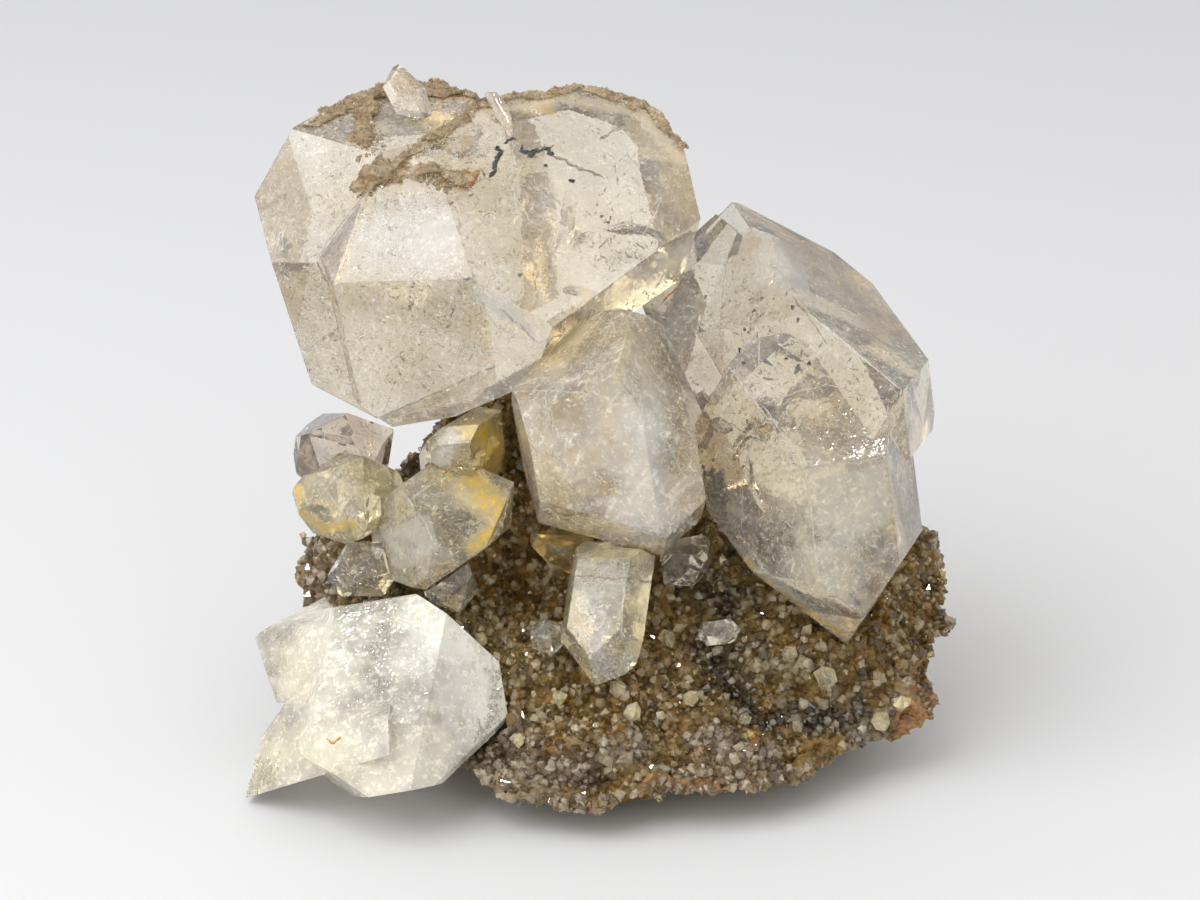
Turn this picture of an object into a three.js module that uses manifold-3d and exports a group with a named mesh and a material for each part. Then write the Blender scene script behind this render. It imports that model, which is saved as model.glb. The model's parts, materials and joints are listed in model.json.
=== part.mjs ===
// A loose specimen of Herkimer quartz: clear double-ended crystals on a piece of druse-covered rock.
// Millimetres, +Z up. The origin lies on the small flat spot that the rock rests on.
import * as THREE from "three";
import { ConvexGeometry } from "three/addons/geometries/ConvexGeometry.js";
import { mergeVertices } from "three/addons/utils/BufferGeometryUtils.js";
import Module from "manifold-3d";

const wasm = await Module();
wasm.setup();

// ---------- driving dimensions ----------

const GAP = 0.3; // clearance between pieces that touch
const PYRAMID_TILT = 51.8; // angle in degrees between a quartz pyramid face's normal and the c axis
const SAME_CORNER = 0.05; // corners closer than this are one corner
const MERGE_WITHIN = 0.0001;
const TINY = 0.000001;
const NONE = 99; // a face that never forms: it lies beyond all the others

// A quartz crystal: its c axis as [azimuth, elevation], the roll of its first prism face, and the
// distance from the centre to its six prism faces, six upper and six lower pyramid faces.
const RIGHT_LOWER = {
  centre: [28, -1, 31.5],
  axis: [-48, 102],
  roll: 2,
  prism: [11.5, 19.5, 14, 9.5, 11.5, 11],
  upper: [14.5, 15.5, 20, NONE, 15.5, 17.5],
  lower: [13.5, 17.5, 9, 10, NONE, 11],
};
const RIGHT_UPPER = {
  centre: [25.5, 15, 46.5],
  axis: [71, 35],
  roll: 63,
  prism: [12.5, NONE, 17.5, NONE, 14, 16],
  upper: [NONE, 11, 13.5, 11, 12.5, 21.5],
  lower: [11.5, 25, 21, 13.5, 17, NONE],
  cuts: { back: [80, 5, 15] },
};
const CENTRE = {
  centre: [0, -3, 44],
  axis: [93, -41],
  roll: 47,
  prism: [11, 14, 10.5, 15, 10.5, 9.5],
  upper: [8.5, 15, 12, 16, 13, 12],
  lower: [12, 16.5, 12.5, 12.5, 9.5, 12.5],
};
const SMALL_PRISM = {
  centre: [0.5, -9, 23.5],
  axis: [-101, -44],
  roll: 40,
  prism: [5, 3.5, 4.5, 4.5, 6, 5],
  upper: [6.5, 7.5, 6, 6.5, 6.5, 8],
  lower: [9, 6, 8, 7.5, 4.5, NONE],
};
const GOLDEN_TIP = {
  centre: [-20, -1, 30.5],
  axis: [1, 37],
  roll: -49,
  prism: [NONE, 7, 7.5, NONE, 7.5, 5],
  upper: [11.5, 8, 8, 5, 8.5, 7],
  lower: [7.5, 9.5, 10, 5, 8, 7],
};
const GOLDEN_REAR = {
  centre: [-17, 6, 39],
  axis: [-22, -133],
  roll: 37,
  prism: [5.5, NONE, 5.5, 7, 3, 5.5],
  upper: [5, 5.5, 5, 5.5, 6, 5.5],
  lower: [5, 3.5, 7, 6.5, 4, 5.5],
};
const YELLOW_LEFT = {
  centre: [-32.5, 5, 31.5],
  axis: [-61, 61],
  roll: -9,
  prism: [NONE, 7, 5, 6.5, 4.5, 5.5],
  upper: [7, 6, 5.5, 6, 5.5, 6],
  lower: [5.5, 7.5, 6, 5, 5, 4.5],
};
const SMOKY = {
  centre: [-32.5, 12, 36.5],
  axis: [-69, -20],
  roll: -2,
  prism: [6, 4.5, 5.5, 6, 7.5, 7.5],
  upper: [5, 6, 7, 4, 5.5, 6.5],
  lower: [5.5, 3.5, 4, 6.5, 6.5, 7],
};
const CLEAR_LEFT = {
  centre: [-30, 0, 24.5],
  axis: [-82, 12],
  roll: 27,
  prism: [4.5, 3.5, 3.5, NONE, NONE, 4],
  upper: [3.5, 3, 4, 3.5, 3, 3.5],
  lower: [4, 3, 3, 3.5, 2.5, 3.5],
};
const CLEAR_LOW = {
  centre: [-18.5, -4, 25.5],
  axis: [-47, 30],
  roll: -5,
  prism: [4, 3, NONE, 4, NONE, 4],
  upper: [2.5, 3, 3.5, 3, 3.5, 3],
  lower: [4, 3, 3, 4, 3.5, 3.5],
};
const AMBER = {
  centre: [-4.5, -1, 27.5],
  axis: [-27, -41],
  roll: 25,
  prism: [3, NONE, 4, 2.5, 2, 3.5],
  upper: [4, 3.5, 3, 2, 3.5, 4],
  lower: [NONE, 2, NONE, 4, 4, 2.5],
};
const FRONT_MAIN = {
  centre: [-26, -14, 16],
  axis: [-85, -12],
  roll: 39,
  prism: [NONE, 10, 9.5, 11.5, 8, NONE],
  upper: [8.5, 6, 12.5, 14.5, 13.5, 13.5],
  lower: [9.5, 10, NONE, 18.5, NONE, 10],
  cuts: { back: [90, 20, 14] },
};
const BLOCK = {
  centre: [11, 0, 25.5],
  axis: [31, 44],
  roll: -25,
  prism: [3, 3, 3.5, NONE, 2.5, 2.5],
  upper: [3.5, 3, 2.5, 3.5, 3, 2.5],
  lower: [3, 3, 3.5, 2, NONE, 2.5],
};
const BEAD = {
  centre: [-7, -10, 19.5],
  axis: [-70, 23],
  roll: 3,
  prism: [2.5, 2.5, 2, 1.5, 1.5, 2],
  upper: [2.5, 2.5, 2.5, 2.5, 2, 2],
  lower: [2.5, 2, 2.5, 1.5, 2, 2.5],
};
const LENS = {
  centre: [15, -8.1, 19.6],
  axis: [-28, 21],
  roll: -49,
  prism: [2, 2.5, 1.5, 2.5, 2, 1.5],
  upper: [2, 2, 2, 1.5, 2.5, 2],
  lower: [2, 2.5, 2, 2.5, 2, NONE],
};

// Crystals whose growth was hindered have free faces instead: [azimuth, elevation, distance].
const TWIN_FRONT = {
  centre: [-13, 16, 63],
  cuts: {
    bright: [-115, 39, 12.1],
    main: [-72, 50, 9.4],
    prism: [-108, 0, 15.4],
    sliver: [-133, 38, 14.9],
    strip: [-43, -17, 18.4],
    left: [-161, -9, 22.3],
    bottom: [-161, -57, 26.2],
    bottom_right: [-13, -73, 16.8],
    ridge: [150, 45, 14.5],
    crown_left: [112, 45, 15.6],
    crown: [72, 39, 20.5],
    crown_right: [43, 22, 23.6],
    right: [23, -10, 21.7],
    tail: [-18, -60, 15.5],
    back: [95, -8, 16.3],
    back_low: [85, -50, 12],
    back_left: [145, 5, 24.5],
  },
};
const TWIN_REAR = {
  centre: [-29, 24, 60],
  cuts: {
    upper: [-121, 34, 13.8],
    lower: [-115, 0, 15.3],
    left_top: [164, 25, 15],
    left_foot: [-175, -16, 12.5],
    foot: [-149, -60, 19.4],
    top_left: [150, 42, 16.5],
    top: [-91, 84, 15.5],
    top_mid: [140, 42, 17],
    top_back: [56, 47, 21.9],
    back: [98, 2, 13.9],
    back_left: [148, -15, 11.5],
    back_low: [95, -52, 12.5],
    right: [-10, 15, 15],
    front: [-60, 20, 12.5],
    under: [-30, -60, 20],
  },
};
const RIGHT_INNER = {
  centre: [12, 23, 52],
  cuts: {
    front: [-81, 47, 6.9],
    top: [145, 29, 4.4],
    left: [158, 9, 3.9],
    left_low: [171, -32, 3.1],
    right: [25, 45, 10.4],
    side: [0, 0, 9],
    low: [-90, -80, 14],
    back_low: [90, -40, 9],
    back: [85, 5, 10.2],
  },
};
const FRONT_BLOCK = {
  centre: [-38, -9, 16],
  cuts: {
    front: [-129, 24, 3.3],
    left: [-178, -25, 3.7],
    top_left: [141, 38, 5.5],
    top: [148, 73, 4.9],
    low: [-66, -69, 4.4],
    right: [12, -7, 4.3],
    back: [95, 10, 9.5],
  },
};
const FRONT_SHARD = {
  centre: [-35, -18, 8],
  cuts: {
    front: [-135, 23, 2.6],
    tip: [166, 11, 7.8],
    upper_left: [152, 31, 7.1],
    foot: [-18, -60, 1.6],
    foot_right: [-20, -61, 2.1],
    right: [-1, 3, 9.9],
    step: [175, 81, 6.9],
    back: [98, -5, 12],
  },
};

// The rock's rim, counter-clockwise from the right-hand end.
const RIM = [
  [47, 8, 16],
  [46, 14, 19],
  [41, 21, 22.5],
  [29, 29, 23],
  [10, 33, 23],
  [-10, 34, 23],
  [-28, 29, 22],
  [-38, 20, 21],
  [-40.5, 13, 19],
  [-39, 3, 15],
  [-35, -5, 11],
  [-27, -14, 8.5],
  [-17.5, -20, 6.7],
  [-12.5, -24, 4.6],
  [-5, -27, 4.8],
  [-1.3, -27.8, 3.8],
  [6, -25.5, 6],
  [16, -24.5, 5.8],
  [24, -23, 4.7],
  [28, -18.5, 5.6],
  [34, -14, 6.5],
  [38, -12, 5],
  [43, -9, 8],
  [44.5, -2, 10],
];
const ROCK_MIDDLE = [3, 2];
const FLAT_SHARE = 0.56; // share of the way to the rim where the flat underside ends
const SLOPE = { height: 8, rise: 0.49, from: -26 }; // the top surface rises to the back
const SHOULDER = 7; // how sharply the top surface turns down at the rim
// Swells and hollows of the top surface: [x, y, height, radius].
const RELIEF = [
  [-9, 20, 15, 11],
  [7, 17, 11, 10],
  [-2, 27, 4, 4],
  [-17, 28, 3, 5],
  [5, 25, -3, 4],
  [-31, 10, 2, 7],
  [19, -13, -3.5, 4],
  [26, -15, -3, 4],
  [34, -10, -3, 3],
  [-10, 3, -3, 5],
  [33, -4, 2.5, 5],
  [38, 8, 2, 6],
  [22, -20, 2, 4],
  [-4, -20, 1.5, 6],
];
// The rock's own lumps are crossed waves: their height, and radians per millimetre along x and y.
const TOP_LUMPS = { height: 0.7, wave: [0.9, 0.4], crossWave: [-0.5, 0.7], shift: 2, beat: 0.35 };
const UNDER_LUMPS = { height: 0.9, wave: [0.5, 0.6], shift: 1 };
const UNDER_CURVE = 1.6; // above 1, the sides are steeper at the rim than at the flat spot
const RING_SPREAD = 0.8; // below 1, the rings of the top lie closer near the rim
const RIM_STEPS = 44;
const TOP_RINGS = 13;
const UNDER_RINGS = 6;
// Flat breaks in the rock's sides and underside: [azimuth, elevation, depth].
const BREAKS = [
  [96, -28, 2.6],
  [62, -38, 2.2],
  [131, -36, 2.4],
  [166, -38, 1.8],
  [22, -42, 2],
  [112, -58, 1.4],
  [48, -60, 1.2],
  [-150, -48, 1.2],
  [-60, -62, 1],
];

const DRUSE_POINTS = 70;
const DRUSE_SEED = 20240;
const DRUSE_SIDES = 6;
const DRUSE_RADIUS = [0.8, 1.9];
const DRUSE_LENGTH = 2.6; // length over radius
const DRUSE_REACH = 0.99; // share of the way to the rim
const DRUSE_LEAN = { low: [-0.5, -0.7, 0], high: [0.5, 0.3, 0.4] };
const DRUSE_MARGIN = 0.8; // druse keeps this far from the large crystals
const PROBE = 0.004; // share of the rim by which a surface is probed for its direction

// Crust: rough chunks along each path over the crystals, [x, y, z, half-width].
const RIDGE_CRUST = [
  [
    [-29.6, 12.8, 71.6, 1.9],
    [-28, 13.2, 73, 2.1],
    [-25.9, 13.5, 74.2, 1.7],
    [-23.8, 14.2, 75.5, 1.5],
    [-21.6, 14.9, 77.1, 1.5],
    [-19.4, 16.5, 77.9, 1.2],
    [-17.2, 18.3, 78.8, 1.2],
    [-15, 20.3, 79.8, 1.4],
    [-12.5, 21.8, 80.2, 1.5],
    [-8, 23.4, 80.2, 1.4],
    [-2.5, 25.3, 80.2, 1.5],
    [1.5, 25.4, 79.3, 1.3],
    [5, 25.1, 78.3, 1.6],
    [8.3, 23.4, 76.2, 1.4],
    [10.5, 21.5, 73.8, 1.1],
  ],
  [
    [-26, 13, 73.3, 1.6],
    [-23.4, 12.4, 73.6, 1.3],
    [-21.4, 11.6, 73.7, 1.6],
    [-19.3, 10.9, 73.4, 1.8],
    [-17.3, 11, 72.9, 1.8],
    [-16.4, 11.9, 73.1, 1.4],
  ],
];
const REAR_CRUST = [
  [
    [-37.5, 22.5, 74.9, 1.2],
    [-35.5, 25.5, 76.1, 1.7],
    [-32.5, 29.5, 76.8, 2.2],
    [-30, 32, 77.2, 2.3],
    [-27, 34, 77.5, 2.4],
    [-24, 34.2, 77.6, 2.4],
    [-20.8, 33.6, 77.5, 2.4],
    [-17.8, 33, 76.9, 1.9],
    [-15.8, 32, 76.3, 1.4],
  ],
  [
    [-30.8, 30, 76.8, 2.2],
    [-29.8, 26, 76.3, 2.2],
    [-30, 22, 75.9, 1.9],
    [-30.3, 18.6, 75.4, 1.4],
  ],
];
const CRUST_SEEDS = { ridge: 4, rear: 11 };
const CHUNK_STEP = 2;
const CHUNK_HALF_LENGTH = 2.8;
const CHUNK_CORNERS = 9;
const CHUNK_HEIGHT = 0.8; // half-height over half-width
const CHUNK_SPREAD = [0.75, 1.3]; // how far the half-width varies

const BLADE_CLEARANCE = 0.7; // crust keeps this far from the corners of a blade

// Blades: thin plates of quartz on the twin's top.
const CHIP_BLADE = {
  outline: [
    [-26.2, 31.6, 81],
    [-27.4, 29.8, 79],
    [-25.5, 26.6, 76.4],
    [-21.8, 25.6, 76],
    [-22.8, 28.8, 78.6],
  ],
  thickness: [0.9, 1.1, 0.2],
};
const EDGE_BLADE = {
  outline: [
    [-14.4, 20.6, 81],
    [-13.3, 20.4, 81.1],
    [-11.7, 19.6, 79.4],
    [-11.2, 18.3, 77.9],
    [-11.1, 17.2, 76.3],
    [-12.4, 19, 77.4],
  ],
  thickness: [0.5, 0.3, 0.1],
};

// ---------- shapes ----------

/** Unit vector of an azimuth and elevation in degrees. */
function direction(azimuth, elevation) {
  const a = THREE.MathUtils.degToRad(azimuth);
  const e = THREE.MathUtils.degToRad(elevation);
  return new THREE.Vector3(Math.cos(e) * Math.cos(a), Math.cos(e) * Math.sin(a), Math.sin(e));
}

/** The faces of a crystal as outward normals and distances from its centre. */
function facesOf(crystal) {
  const faces = [];
  if (crystal.axis) {
    const [azimuth, elevation] = crystal.axis;
    const c = direction(azimuth, elevation);
    const side = direction(azimuth + 90, 0);
    const up = c.clone().cross(side);
    const tilt = THREE.MathUtils.degToRad(PYRAMID_TILT);
    for (let k = 0; k < 6; k++) {
      const turn = THREE.MathUtils.degToRad(crystal.roll + 60 * k);
      const m = side.clone().multiplyScalar(Math.cos(turn)).addScaledVector(up, Math.sin(turn));
      const sloped = m.clone().multiplyScalar(Math.sin(tilt));
      faces.push({ normal: m, distance: crystal.prism[k] });
      faces.push({
        normal: sloped.clone().addScaledVector(c, Math.cos(tilt)),
        distance: crystal.upper[k],
      });
      faces.push({
        normal: sloped.clone().addScaledVector(c, -Math.cos(tilt)),
        distance: crystal.lower[k],
      });
    }
  }
  for (const [azimuth, elevation, distance] of Object.values(crystal.cuts ?? {})) {
    faces.push({ normal: direction(azimuth, elevation), distance });
  }
  return faces;
}

/** The point where three faces meet, or null where they don't. */
function meetingPoint(a, b, c) {
  const bc = b.normal.clone().cross(c.normal);
  const volume = a.normal.dot(bc);
  if (Math.abs(volume) < TINY) return null;
  const ca = c.normal.clone().cross(a.normal);
  const ab = a.normal.clone().cross(b.normal);
  return bc
    .multiplyScalar(a.distance)
    .addScaledVector(ca, b.distance)
    .addScaledVector(ab, c.distance)
    .divideScalar(volume);
}

/** The closed convex body that a crystal's faces enclose, with every face moved out by grow. */
function crystalGeometry(crystal, grow = 0) {
  const faces = facesOf(crystal).map((f) => ({ normal: f.normal, distance: f.distance + grow }));
  const corners = [];
  for (let i = 0; i < faces.length; i++) {
    for (let j = i + 1; j < faces.length; j++) {
      for (let k = j + 1; k < faces.length; k++) {
        const p = meetingPoint(faces[i], faces[j], faces[k]);
        if (!p) continue;
        if (faces.some((f) => f.normal.dot(p) > f.distance + TINY)) continue;
        if (corners.every((q) => q.distanceTo(p) > SAME_CORNER)) corners.push(p);
      }
    }
  }
  return new ConvexGeometry(corners).translate(...crystal.centre);
}

/** How far a point lies outside a crystal; negative inside. */
function distanceOutside(crystal, point) {
  const local = point.clone().sub(new THREE.Vector3(...crystal.centre));
  return Math.max(...facesOf(crystal).map((f) => f.normal.dot(local) - f.distance));
}

// ---------- joining and cutting ----------

/** A three.js geometry as a solid that can be joined and cut. */
function solidOf(geometry) {
  const plain = geometry.clone();
  plain.deleteAttribute("normal");
  plain.deleteAttribute("uv");
  const merged = mergeVertices(plain, MERGE_WITHIN);
  return new wasm.Manifold(
    new wasm.Mesh({
      numProp: 3,
      vertProperties: new Float32Array(merged.attributes.position.array),
      triVerts: new Uint32Array(merged.index.array),
    }),
  );
}

/** A solid back as a three.js geometry. */
function geometryOf(solid) {
  const mesh = solid.getMesh();
  const geometry = new THREE.BufferGeometry();
  geometry.setAttribute("position", new THREE.BufferAttribute(mesh.vertProperties, 3));
  geometry.setIndex(new THREE.BufferAttribute(mesh.triVerts, 1));
  geometry.computeVertexNormals();
  return geometry;
}

const joined = (solids) => solids.reduce((a, b) => a.add(b));

/** The largest connected body of a solid, so that no loose crumb of a cut is left. */
function largest(solid) {
  return solid.decompose().reduce((a, b) => (b.volume() > a.volume() ? b : a));
}

/** Crystals grown into each other as one solid, and the same grown by the clearance. */
function grownTogether(...crystals) {
  return {
    crystals,
    solid: joined(crystals.map((c) => solidOf(crystalGeometry(c)))),
    shell: joined(crystals.map((c) => solidOf(crystalGeometry(c, GAP)))),
  };
}

/** A piece cut back where its neighbours touch it. */
function against(piece, ...neighbours) {
  const solid = neighbours.reduce((s, n) => s.subtract(n.shell), piece.solid);
  return { ...piece, solid: largest(solid) };
}

/** Repeatable random numbers from 0 to 1. */
function randomStream(seed) {
  let state = seed;
  return () => {
    state = (state * 16807) % 2147483647;
    return state / 2147483647;
  };
}
const between = (range, t) => range[0] + (range[1] - range[0]) * t;

// ---------- the rock and its druse ----------

const rimCurve = new THREE.CatmullRomCurve3(RIM.map((p) => new THREE.Vector3(...p)), true);

/** Height of the top surface, away from the rim. */
function reliefAt(x, y) {
  let height = SLOPE.height + SLOPE.rise * (y - SLOPE.from);
  for (const [cx, cy, lift, radius] of RELIEF) {
    const far = ((x - cx) ** 2 + (y - cy) ** 2) / radius ** 2;
    height += lift * Math.exp(-far);
  }
  const { wave, crossWave, shift, beat } = TOP_LUMPS;
  const swell = Math.sin(wave[0] * x + wave[1] * y);
  const cross = Math.sin(crossWave[0] * x + crossWave[1] * y + shift) * Math.cos(beat * x);
  return height + TOP_LUMPS.height * (swell + cross);
}

/** A point of the top surface: along is 0 to 1 around the rim, out is 0 to 1 from middle to rim. */
function topPoint(along, out) {
  const rim = rimCurve.getPoint(((along % 1) + 1) % 1);
  const x = ROCK_MIDDLE[0] + (rim.x - ROCK_MIDDLE[0]) * out;
  const y = ROCK_MIDDLE[1] + (rim.y - ROCK_MIDDLE[1]) * out;
  const atRim = out ** SHOULDER;
  return new THREE.Vector3(x, y, reliefAt(x, y) * (1 - atRim) + rim.z * atRim);
}

/** A point of the underside: flat at height 0, then curving up to the rim. */
function underPoint(along, out) {
  const rim = rimCurve.getPoint(((along % 1) + 1) % 1);
  const x = ROCK_MIDDLE[0] + (rim.x - ROCK_MIDDLE[0]) * out;
  const y = ROCK_MIDDLE[1] + (rim.y - ROCK_MIDDLE[1]) * out;
  const climb = Math.max(0, (out - FLAT_SHARE) / (1 - FLAT_SHARE));
  const { height, wave, shift } = UNDER_LUMPS;
  const waves = Math.sin(wave[0] * x + shift) * Math.sin(wave[1] * y) * Math.sin(Math.PI * climb);
  return new THREE.Vector3(x, y, rim.z * climb ** UNDER_CURVE + height * (waves + 1) * climb);
}

/** The rock as one closed surface of rings, from the middle of its top over the rim to below. */
function rockGeometry() {
  const rows = [];
  for (let r = 1; r <= TOP_RINGS; r++) rows.push([topPoint, (r / TOP_RINGS) ** RING_SPREAD]);
  for (let r = UNDER_RINGS - 1; r >= 1; r--) {
    rows.push([underPoint, FLAT_SHARE + (1 - FLAT_SHARE) * (r / UNDER_RINGS)]);
  }
  rows.push([underPoint, FLAT_SHARE]);
  const points = [topPoint(0, 0)];
  for (const [surface, out] of rows) {
    for (let i = 0; i < RIM_STEPS; i++) points.push(surface(i / RIM_STEPS, out));
  }
  points.push(underPoint(0, 0));
  const index = [];
  const at = (row, i) => 1 + row * RIM_STEPS + (i % RIM_STEPS);
  const last = points.length - 1;
  for (let i = 0; i < RIM_STEPS; i++) {
    index.push(0, at(0, i), at(0, i + 1));
    for (let row = 0; row < rows.length - 1; row++) {
      index.push(at(row, i), at(row + 1, i), at(row + 1, i + 1));
      index.push(at(row, i), at(row + 1, i + 1), at(row, i + 1));
    }
    index.push(at(rows.length - 1, i), last, at(rows.length - 1, i + 1));
  }
  const geometry = new THREE.BufferGeometry().setFromPoints(points);
  geometry.setIndex(index);
  return geometry;
}

/** The rock with a flat face broken from it at each of the breaks. */
function brokenRock() {
  const geometry = rockGeometry();
  const points = geometry.attributes.position;
  const point = new THREE.Vector3();
  let rock = solidOf(geometry);
  for (const [azimuth, elevation, depth] of BREAKS) {
    const out = direction(azimuth, elevation);
    let reach = -Infinity;
    for (let i = 0; i < points.count; i++) {
      reach = Math.max(reach, point.fromBufferAttribute(points, i).dot(out));
    }
    rock = rock.trimByPlane(out.negate().toArray(), depth - reach);
  }
  return rock;
}

/** One druse point: a six-sided prism with a pyramid, standing at a place along a direction. */
function drusePoint(place, along, radius) {
  const length = radius * DRUSE_LENGTH;
  const profile = [
    [0, -length / 2],
    [radius, -length / 2],
    [radius, length / 4],
    [0, length / 2],
  ];
  const geometry = new THREE.LatheGeometry(
    profile.map((p) => new THREE.Vector2(...p)),
    DRUSE_SIDES,
  );
  geometry.applyQuaternion(
    new THREE.Quaternion().setFromUnitVectors(new THREE.Vector3(0, 1, 0), along),
  );
  return geometry.translate(place.x, place.y, place.z);
}

/** Druse points over the top surface, clear of the large crystals. */
function druse(largeCrystals) {
  const random = randomStream(DRUSE_SEED);
  const { low, high } = DRUSE_LEAN;
  const points = [];
  while (points.length < DRUSE_POINTS) {
    const along = random();
    const out = Math.sqrt(random()) * DRUSE_REACH;
    const place = topPoint(along, out);
    const lean = new THREE.Vector3(...low.map((l, i) => between([l, high[i]], random())));
    const radius = between(DRUSE_RADIUS, random() ** 2);
    if (largeCrystals.some((c) => distanceOutside(c, place) < DRUSE_MARGIN + radius)) continue;
    const around = topPoint(along + PROBE, out).sub(place);
    const outward = topPoint(along, out - PROBE).sub(place).negate();
    const normal = outward.cross(around).normalize();
    points.push(solidOf(drusePoint(place, normal.add(lean).normalize(), radius)));
  }
  return points;
}

// ---------- crust and blade ----------

/** One angular chunk of crust around a place, its length along a direction. */
function crustChunk(place, along, halfWidth, random) {
  const corners = [];
  for (let i = 0; i < CHUNK_CORNERS; i++) {
    const corner = new THREE.Vector3(random() - 0.5, random() - 0.5, random() - 0.5).normalize();
    corners.push(corner);
  }
  const geometry = new ConvexGeometry(corners);
  geometry.scale(CHUNK_HALF_LENGTH, halfWidth, halfWidth * CHUNK_HEIGHT);
  geometry.rotateZ(Math.atan2(along.y, along.x));
  return geometry.translate(place.x, place.y, place.z);
}

/** Rough chunks in a row along each path, joined. */
function crust(paths, seed) {
  const random = randomStream(seed);
  const chunks = [];
  for (const path of paths) {
    const curve = new THREE.CatmullRomCurve3(path.map(([x, y, z]) => new THREE.Vector3(x, y, z)));
    const steps = Math.ceil(curve.getLength() / CHUNK_STEP);
    for (let i = 0; i <= steps; i++) {
      const share = curve.getUtoTmapping(i / steps);
      const at = share * (path.length - 1);
      const before = path[Math.floor(at)];
      const after = path[Math.ceil(at)];
      const halfWidth = between([before[3], after[3]], at % 1) * between(CHUNK_SPREAD, random());
      const place = curve.getPoint(share);
      chunks.push(solidOf(crustChunk(place, curve.getTangent(share), halfWidth, random)));
    }
  }
  return joined(chunks);
}

/** A blade: a thin plate between two copies of its outline. */
function bladeGeometry(plate, grow = 0) {
  const half = new THREE.Vector3(...plate.thickness).multiplyScalar(0.5);
  const middle = new THREE.Vector3();
  for (const p of plate.outline) middle.add(new THREE.Vector3(...p));
  middle.divideScalar(plate.outline.length);
  const corners = [];
  for (const p of plate.outline) {
    const corner = new THREE.Vector3(...p);
    corner.add(corner.clone().sub(middle).setLength(grow));
    const side = half.clone().setLength(half.length() + grow);
    corners.push(corner.clone().add(side), corner.clone().sub(side));
  }
  return new ConvexGeometry(corners);
}

/** A blade and the same grown by its clearance. */
function bladePlate(plate) {
  return {
    solid: solidOf(bladeGeometry(plate)),
    shell: solidOf(bladeGeometry(plate, BLADE_CLEARANCE)),
  };
}

// ---------- assembly ----------

const twin = grownTogether(TWIN_FRONT, TWIN_REAR);
const right = grownTogether(RIGHT_LOWER, RIGHT_UPPER, RIGHT_INNER);
const centre = grownTogether(CENTRE);
const smallPrism = grownTogether(SMALL_PRISM);
const goldenTip = grownTogether(GOLDEN_TIP);
const goldenRear = grownTogether(GOLDEN_REAR);
const yellowLeft = grownTogether(YELLOW_LEFT);
const smoky = grownTogether(SMOKY);
const clearLeft = grownTogether(CLEAR_LEFT);
const clearLow = grownTogether(CLEAR_LOW);
const amber = grownTogether(AMBER);
const front = grownTogether(FRONT_MAIN, FRONT_BLOCK, FRONT_SHARD);
const block = grownTogether(BLOCK);
const bead = grownTogether(BEAD);
const lens = grownTogether(LENS);
const chipBlade = bladePlate(CHIP_BLADE);
const edgeBlade = bladePlate(EDGE_BLADE);

const crystals = {
  twin_crystal: against(twin, centre),
  right_crystal: against(right, twin, centre),
  centre_crystal: centre,
  small_prism: against(smallPrism, centre),
  golden_tip_crystal: goldenTip,
  golden_rear_crystal: against(goldenRear, twin, centre, goldenTip),
  yellow_left_crystal: against(yellowLeft, goldenTip),
  smoky_crystal: against(smoky, yellowLeft, goldenTip),
  clear_left_crystal: against(clearLeft, goldenTip, yellowLeft),
  clear_low_crystal: against(clearLow, goldenTip, front),
  amber_crystal: against(amber, centre, smallPrism, goldenTip),
  front_crystal: against(front, goldenTip, clearLeft),
  block_crystal: against(block, centre, right, smallPrism),
  bead_crystal: against(bead, smallPrism),
  lens_crystal: lens,
};
const allCrystals = Object.values(crystals);
const largeCrystals = allCrystals.flatMap((c) => c.crystals);

const matrix = largest(
  allCrystals.reduce(
    (rock, c) => rock.subtract(c.shell),
    joined([brokenRock(), ...druse(largeCrystals)]),
  ),
);

const COLOURS = {
  druse_matrix: "#8a7458",
  twin_crystal: "#d8d3c8",
  right_crystal: "#cfc6b8",
  centre_crystal: "#d6cebd",
  small_prism: "#dcd6bf",
  golden_tip_crystal: "#d9cba2",
  golden_rear_crystal: "#cda84e",
  yellow_left_crystal: "#d8c691",
  smoky_crystal: "#a89d96",
  clear_left_crystal: "#d3cabb",
  clear_low_crystal: "#d3c6a8",
  amber_crystal: "#b98f35",
  front_crystal: "#e0dccb",
  block_crystal: "#b3a998",
  bead_crystal: "#d5cdc0",
  lens_crystal: "#c6bdb0",
  crust_ridge: "#a68b60",
  crust_rear: "#9c8158",
  blade_chip: "#dccf9d",
  blade_edge: "#ddd6c2",
};

const specimen = new THREE.Group();

function addPiece(name, solid, roughness) {
  const material = new THREE.MeshStandardMaterial({ color: COLOURS[name], roughness, metalness: 0 });
  const mesh = new THREE.Mesh(geometryOf(solid), material);
  mesh.name = name;
  specimen.add(mesh);
}

const CRYSTAL_ROUGHNESS = 0.08;
const ROCK_ROUGHNESS = 0.7;
for (const [name, piece] of Object.entries(crystals)) {
  addPiece(name, piece.solid, CRYSTAL_ROUGHNESS);
}
addPiece("druse_matrix", matrix, ROCK_ROUGHNESS);
/** Crust on the twin, clear of a blade that stands in it. */
function crustOnTwin(paths, seed, blade) {
  return crust(paths, seed).subtract(twin.shell).subtract(blade.shell);
}
const bladeOnTwin = (blade) => largest(blade.solid.subtract(twin.shell));
const ridgeCrust = crustOnTwin(RIDGE_CRUST, CRUST_SEEDS.ridge, edgeBlade);
const rearCrust = crustOnTwin(REAR_CRUST, CRUST_SEEDS.rear, chipBlade);
addPiece("crust_ridge", largest(ridgeCrust), ROCK_ROUGHNESS);
addPiece("crust_rear", largest(rearCrust), ROCK_ROUGHNESS);
addPiece("blade_chip", bladeOnTwin(chipBlade), CRYSTAL_ROUGHNESS);
addPiece("blade_edge", bladeOnTwin(edgeBlade), CRYSTAL_ROUGHNESS);

export default specimen;
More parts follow.
